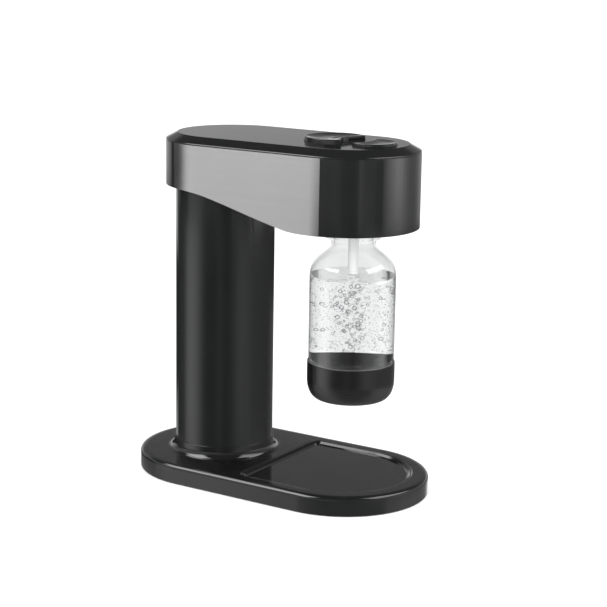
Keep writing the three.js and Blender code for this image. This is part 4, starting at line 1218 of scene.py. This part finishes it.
EYE = [(0, 0.42), (14, 0.32), (30, 0.30), (48, 0.50), (76, 0.50), (81, 0.36), (85, 0.14), (88, 0.06), (106, 0.08), (113, 0.12), (119, 0.34), (125, 0.58), (133, 0.70),
       (149, 0.70), (155, 0.62), (161, 0.52), (166, 0.44), (172, 0.41), (182, 0.38), (191, 0.41), (198, 0.36), (205, 0.22), (219, 0.18),
       (226, 0.24), (231, 0.62), (239, 0.50), (252, 0.38), (258, 0.26), (265, 0.23), (271, 0.75), (277, 1.25), (285, 1.7), (293, 1.95),
       (301, 1.75), (309, 1.25), (317, 0.8), (325, 0.55), (336, 0.38), (346, 0.38), (360, 0.45)]
EYE_TOP = [(0, 0.55), (14, 0.48), (48, 0.74), (76, 0.78), (82, 0.54), (86, 0.12), (88, 0.06), (106, 0.08), (113, 0.12), (119, 0.36), (125, 0.66), (133, 0.82),
           (149, 0.84), (155, 0.78), (161, 0.66), (166, 0.46), (172, 0.41), (182, 0.38), (191, 0.41), (198, 0.36), (205, 0.22), (219, 0.18),
           (226, 0.26), (231, 0.70), (239, 0.44), (252, 0.40), (258, 0.28), (265, 0.30), (271, 1.1), (277, 1.8), (285, 2.4), (293, 2.9),
           (301, 2.5), (309, 1.5), (317, 0.85), (325, 0.55), (336, 0.45), (346, 0.48), (360, 0.55)]
HORIZON = [(0, 1.0), (60, 0.9), (78, 0.6), (92, 0.2), (106, 0.15), (120, 0.5), (132, 0.70), (150, 0.70), (162, 0.80), (175, 1.0), (200, 0.9), (215, 0.35), (255, 0.3), (270, 0.7),
           (290, 1.0), (315, 0.8), (335, 0.9), (360, 1.0)]
TABLE = [(0, 0.43), (20, 0.42), (28, 0.41), (34, 0.46), (40, 0.50), (60, 0.55), (95, 0.6), (112, 1.2), (160, 1.2), (175, 0.8), (200, 0.4),
         (255, 0.3), (285, 0.7), (315, 0.7), (340, 0.5), (360, 0.43)]
ABOVE = [(0, 0.22), (10, 0.28), (20, 0.26), (28, 0.24), (42, 0.24), (60, 0.40), (80, 0.7), (100, 0.6), (112, 0.9), (165, 0.9), (180, 0.35),
         (250, 0.3), (262, 0.6), (320, 0.6), (340, 0.3), (360, 0.22)]
CEILING = [(0, 0.12), (360, 0.12)]
BANDS = [(-90, LOWEST), (-21.9, LOWEST), (-21.1, LOW), (-10.0, LOW), (-9.4, EYE), (-6.0, EYE_TOP), (-5.6, EYE_TOP), (-3.5, HORIZON),
         (5.0, HORIZON), (7.0, TABLE), (10.0, TABLE), (13.0, ABOVE), (22.0, ABOVE), (31.0, CEILING), (90, CEILING)]
# the lowest band reaches a little higher behind the machine
LIFT = [(0, 0.0), (30, 0.0), (44, 0.45), (100, 0.55), (118, 0.75), (143, 0.75), (158, 0.0), (360, 0.0)]
SOFTBOXES = [(110, 166, 27, 66, 8.6), (256, 325, 25, 68, 4.6), (74, 106, 42, 66, 5.4)]


def step(x, x0, x1):
    t = min(1.0, max(0.0, (x - x0) / (x1 - x0)))
    return t * t * (3 - 2 * t)


def light_at(az, el):
    if -24 < el < -18:
        el -= lerp_table(LIFT, az)
    elif -10 < el < -6 and 30 < az < 110:
        # the dark edge of the column goes on up to the head
        el -= 0.9 * step(az, 30, 42) * (1 - step(az, 100, 110)) * (1 - step(el, -8.4, -6.5))
    v = lerp_table(BANDS[-1][1], az)
    for (e0, t0), (e1, t1) in zip(BANDS, BANDS[1:]):
        if e0 <= el <= e1:
            v0, v1 = lerp_table(t0, az), lerp_table(t1, az)
            v = v0 + (v1 - v0) * step(el, e0, e1)
            break
    for a0, a1, e0, e1, power in SOFTBOXES:
        soft = 1.0 if a1 - a0 > 40 else 0.5
        k = (step(az, a0 - 5 * soft, a0 + 9 * soft) * (1 - step(az, a1 - 9 * soft, a1 + 5 * soft))
             * step(el, e0 - 3 * soft, e0 + 9 * soft) * (1 - step(el, e1 - 9 * soft, e1 + 3 * soft)))
        v = v + max(power - v, 0.0) * k
    # a faint light low on the right: it shows in the column's right edge, and in the steel from that side
    d = min(az, 360 - az)
    v += max(0.20 - v, 0.0) * (1 - step(d, 20, 38)) * step(-el, 12.5, 15.0) * (1 - step(-el, 22, 26))
    return v


def spread(*runs):
    out = []
    for a, b_, d in runs:
        out += list(np.arange(a, b_, d))
    return out


bm = bmesh.new()
na, rad = 360, 4.0
levels = spread((-90, -26, 4), (-26, -12, 1), (-12, -3, 0.4), (-3, 24, 1), (24, 66, 1.5), (66, 90, 4)) + [90.0]
ne = len(levels) - 1
shade = []
grid_v = []
for el in levels:
    row = []
    for i in range(na):
        az = 360.0 * i / na
        e, a = math.radians(el), math.radians(az)
        row.append(bm.verts.new((rad * math.cos(e) * math.cos(a), rad * math.cos(e) * math.sin(a), 0.3 + rad * math.sin(e))))
        shade.append(light_at(az, el))
    grid_v.append(row)
for j in range(ne):
    for i in range(na):
        k = (i + 1) % na
        bm.faces.new((grid_v[j][i], grid_v[j][k], grid_v[j + 1][k], grid_v[j + 1][i]))
me = bpy.data.meshes.new("light_tent")
bm.to_mesh(me)
bm.free()
attr = me.attributes.new("light", "FLOAT", "POINT")
attr.data.foreach_set("value", np.array(shade, np.float32))
tent_mat = bpy.data.materials.new("light_tent")
tent_mat.use_nodes = True
tn = tent_mat.node_tree
tn.nodes.clear()
to = tn.nodes.new("ShaderNodeOutputMaterial")
te = tn.nodes.new("ShaderNodeEmission")
ta = tn.nodes.new("ShaderNodeAttribute")
ta.attribute_name = "light"
tn.links.new(ta.outputs["Fac"], te.inputs["Strength"])
tn.links.new(te.outputs[0], to.inputs["Surface"])
tent_mat.cycles.emission_sampling = "NONE"
me.materials.append(tent_mat)
tent = bpy.data.objects.new("light_tent", me)
bpy.context.scene.collection.objects.link(tent)
tent.visible_camera = tent.visible_diffuse = tent.visible_transmission = tent.visible_shadow = False
tent.visible_volume_scatter = False

# the photograph shows no mirror image of the bottle anywhere, and none of the base in the column
for ob in bpy.data.objects:
    if ob.name.startswith(("bottle_clear", "bottle_cup", "bottle_water", "bottle_bubbles", "bottle_fine", "base_shell", "base_floor", "drip_tray_dish", "plate_screw")) and ob.type == "MESH" or ob.name.endswith("_pad"):
        ob.visible_glossy = False

# two soft lamps in front: they lift the white plastic and the floor, and leave the reflections to the tent
for name, place, size, watts in (("key_left", (-1.9, -0.2, 1.1), 1.3, 31.0), ("key_right", (-0.3, -2.1, 1.2), 1.3, 27.0)):
    lamp = bpy.data.lights.new(name, "AREA")
    lamp.shape, lamp.size, lamp.energy = "DISK", size, watts
    holder = bpy.data.objects.new(name, lamp)
    holder.location = place
    aim = Vector((0.0, -0.05, 0.25)) - Vector(place)
    holder.rotation_euler = aim.to_track_quat("-Z", "Y").to_euler()
    holder.visible_glossy = False
    bpy.context.scene.collection.objects.link(holder)

scene = bpy.context.scene
scene.view_settings.view_transform = "Standard"
scene.view_settings.look = "None"
scene.view_settings.exposure = 0.0
scene.view_settings.gamma = 1.0
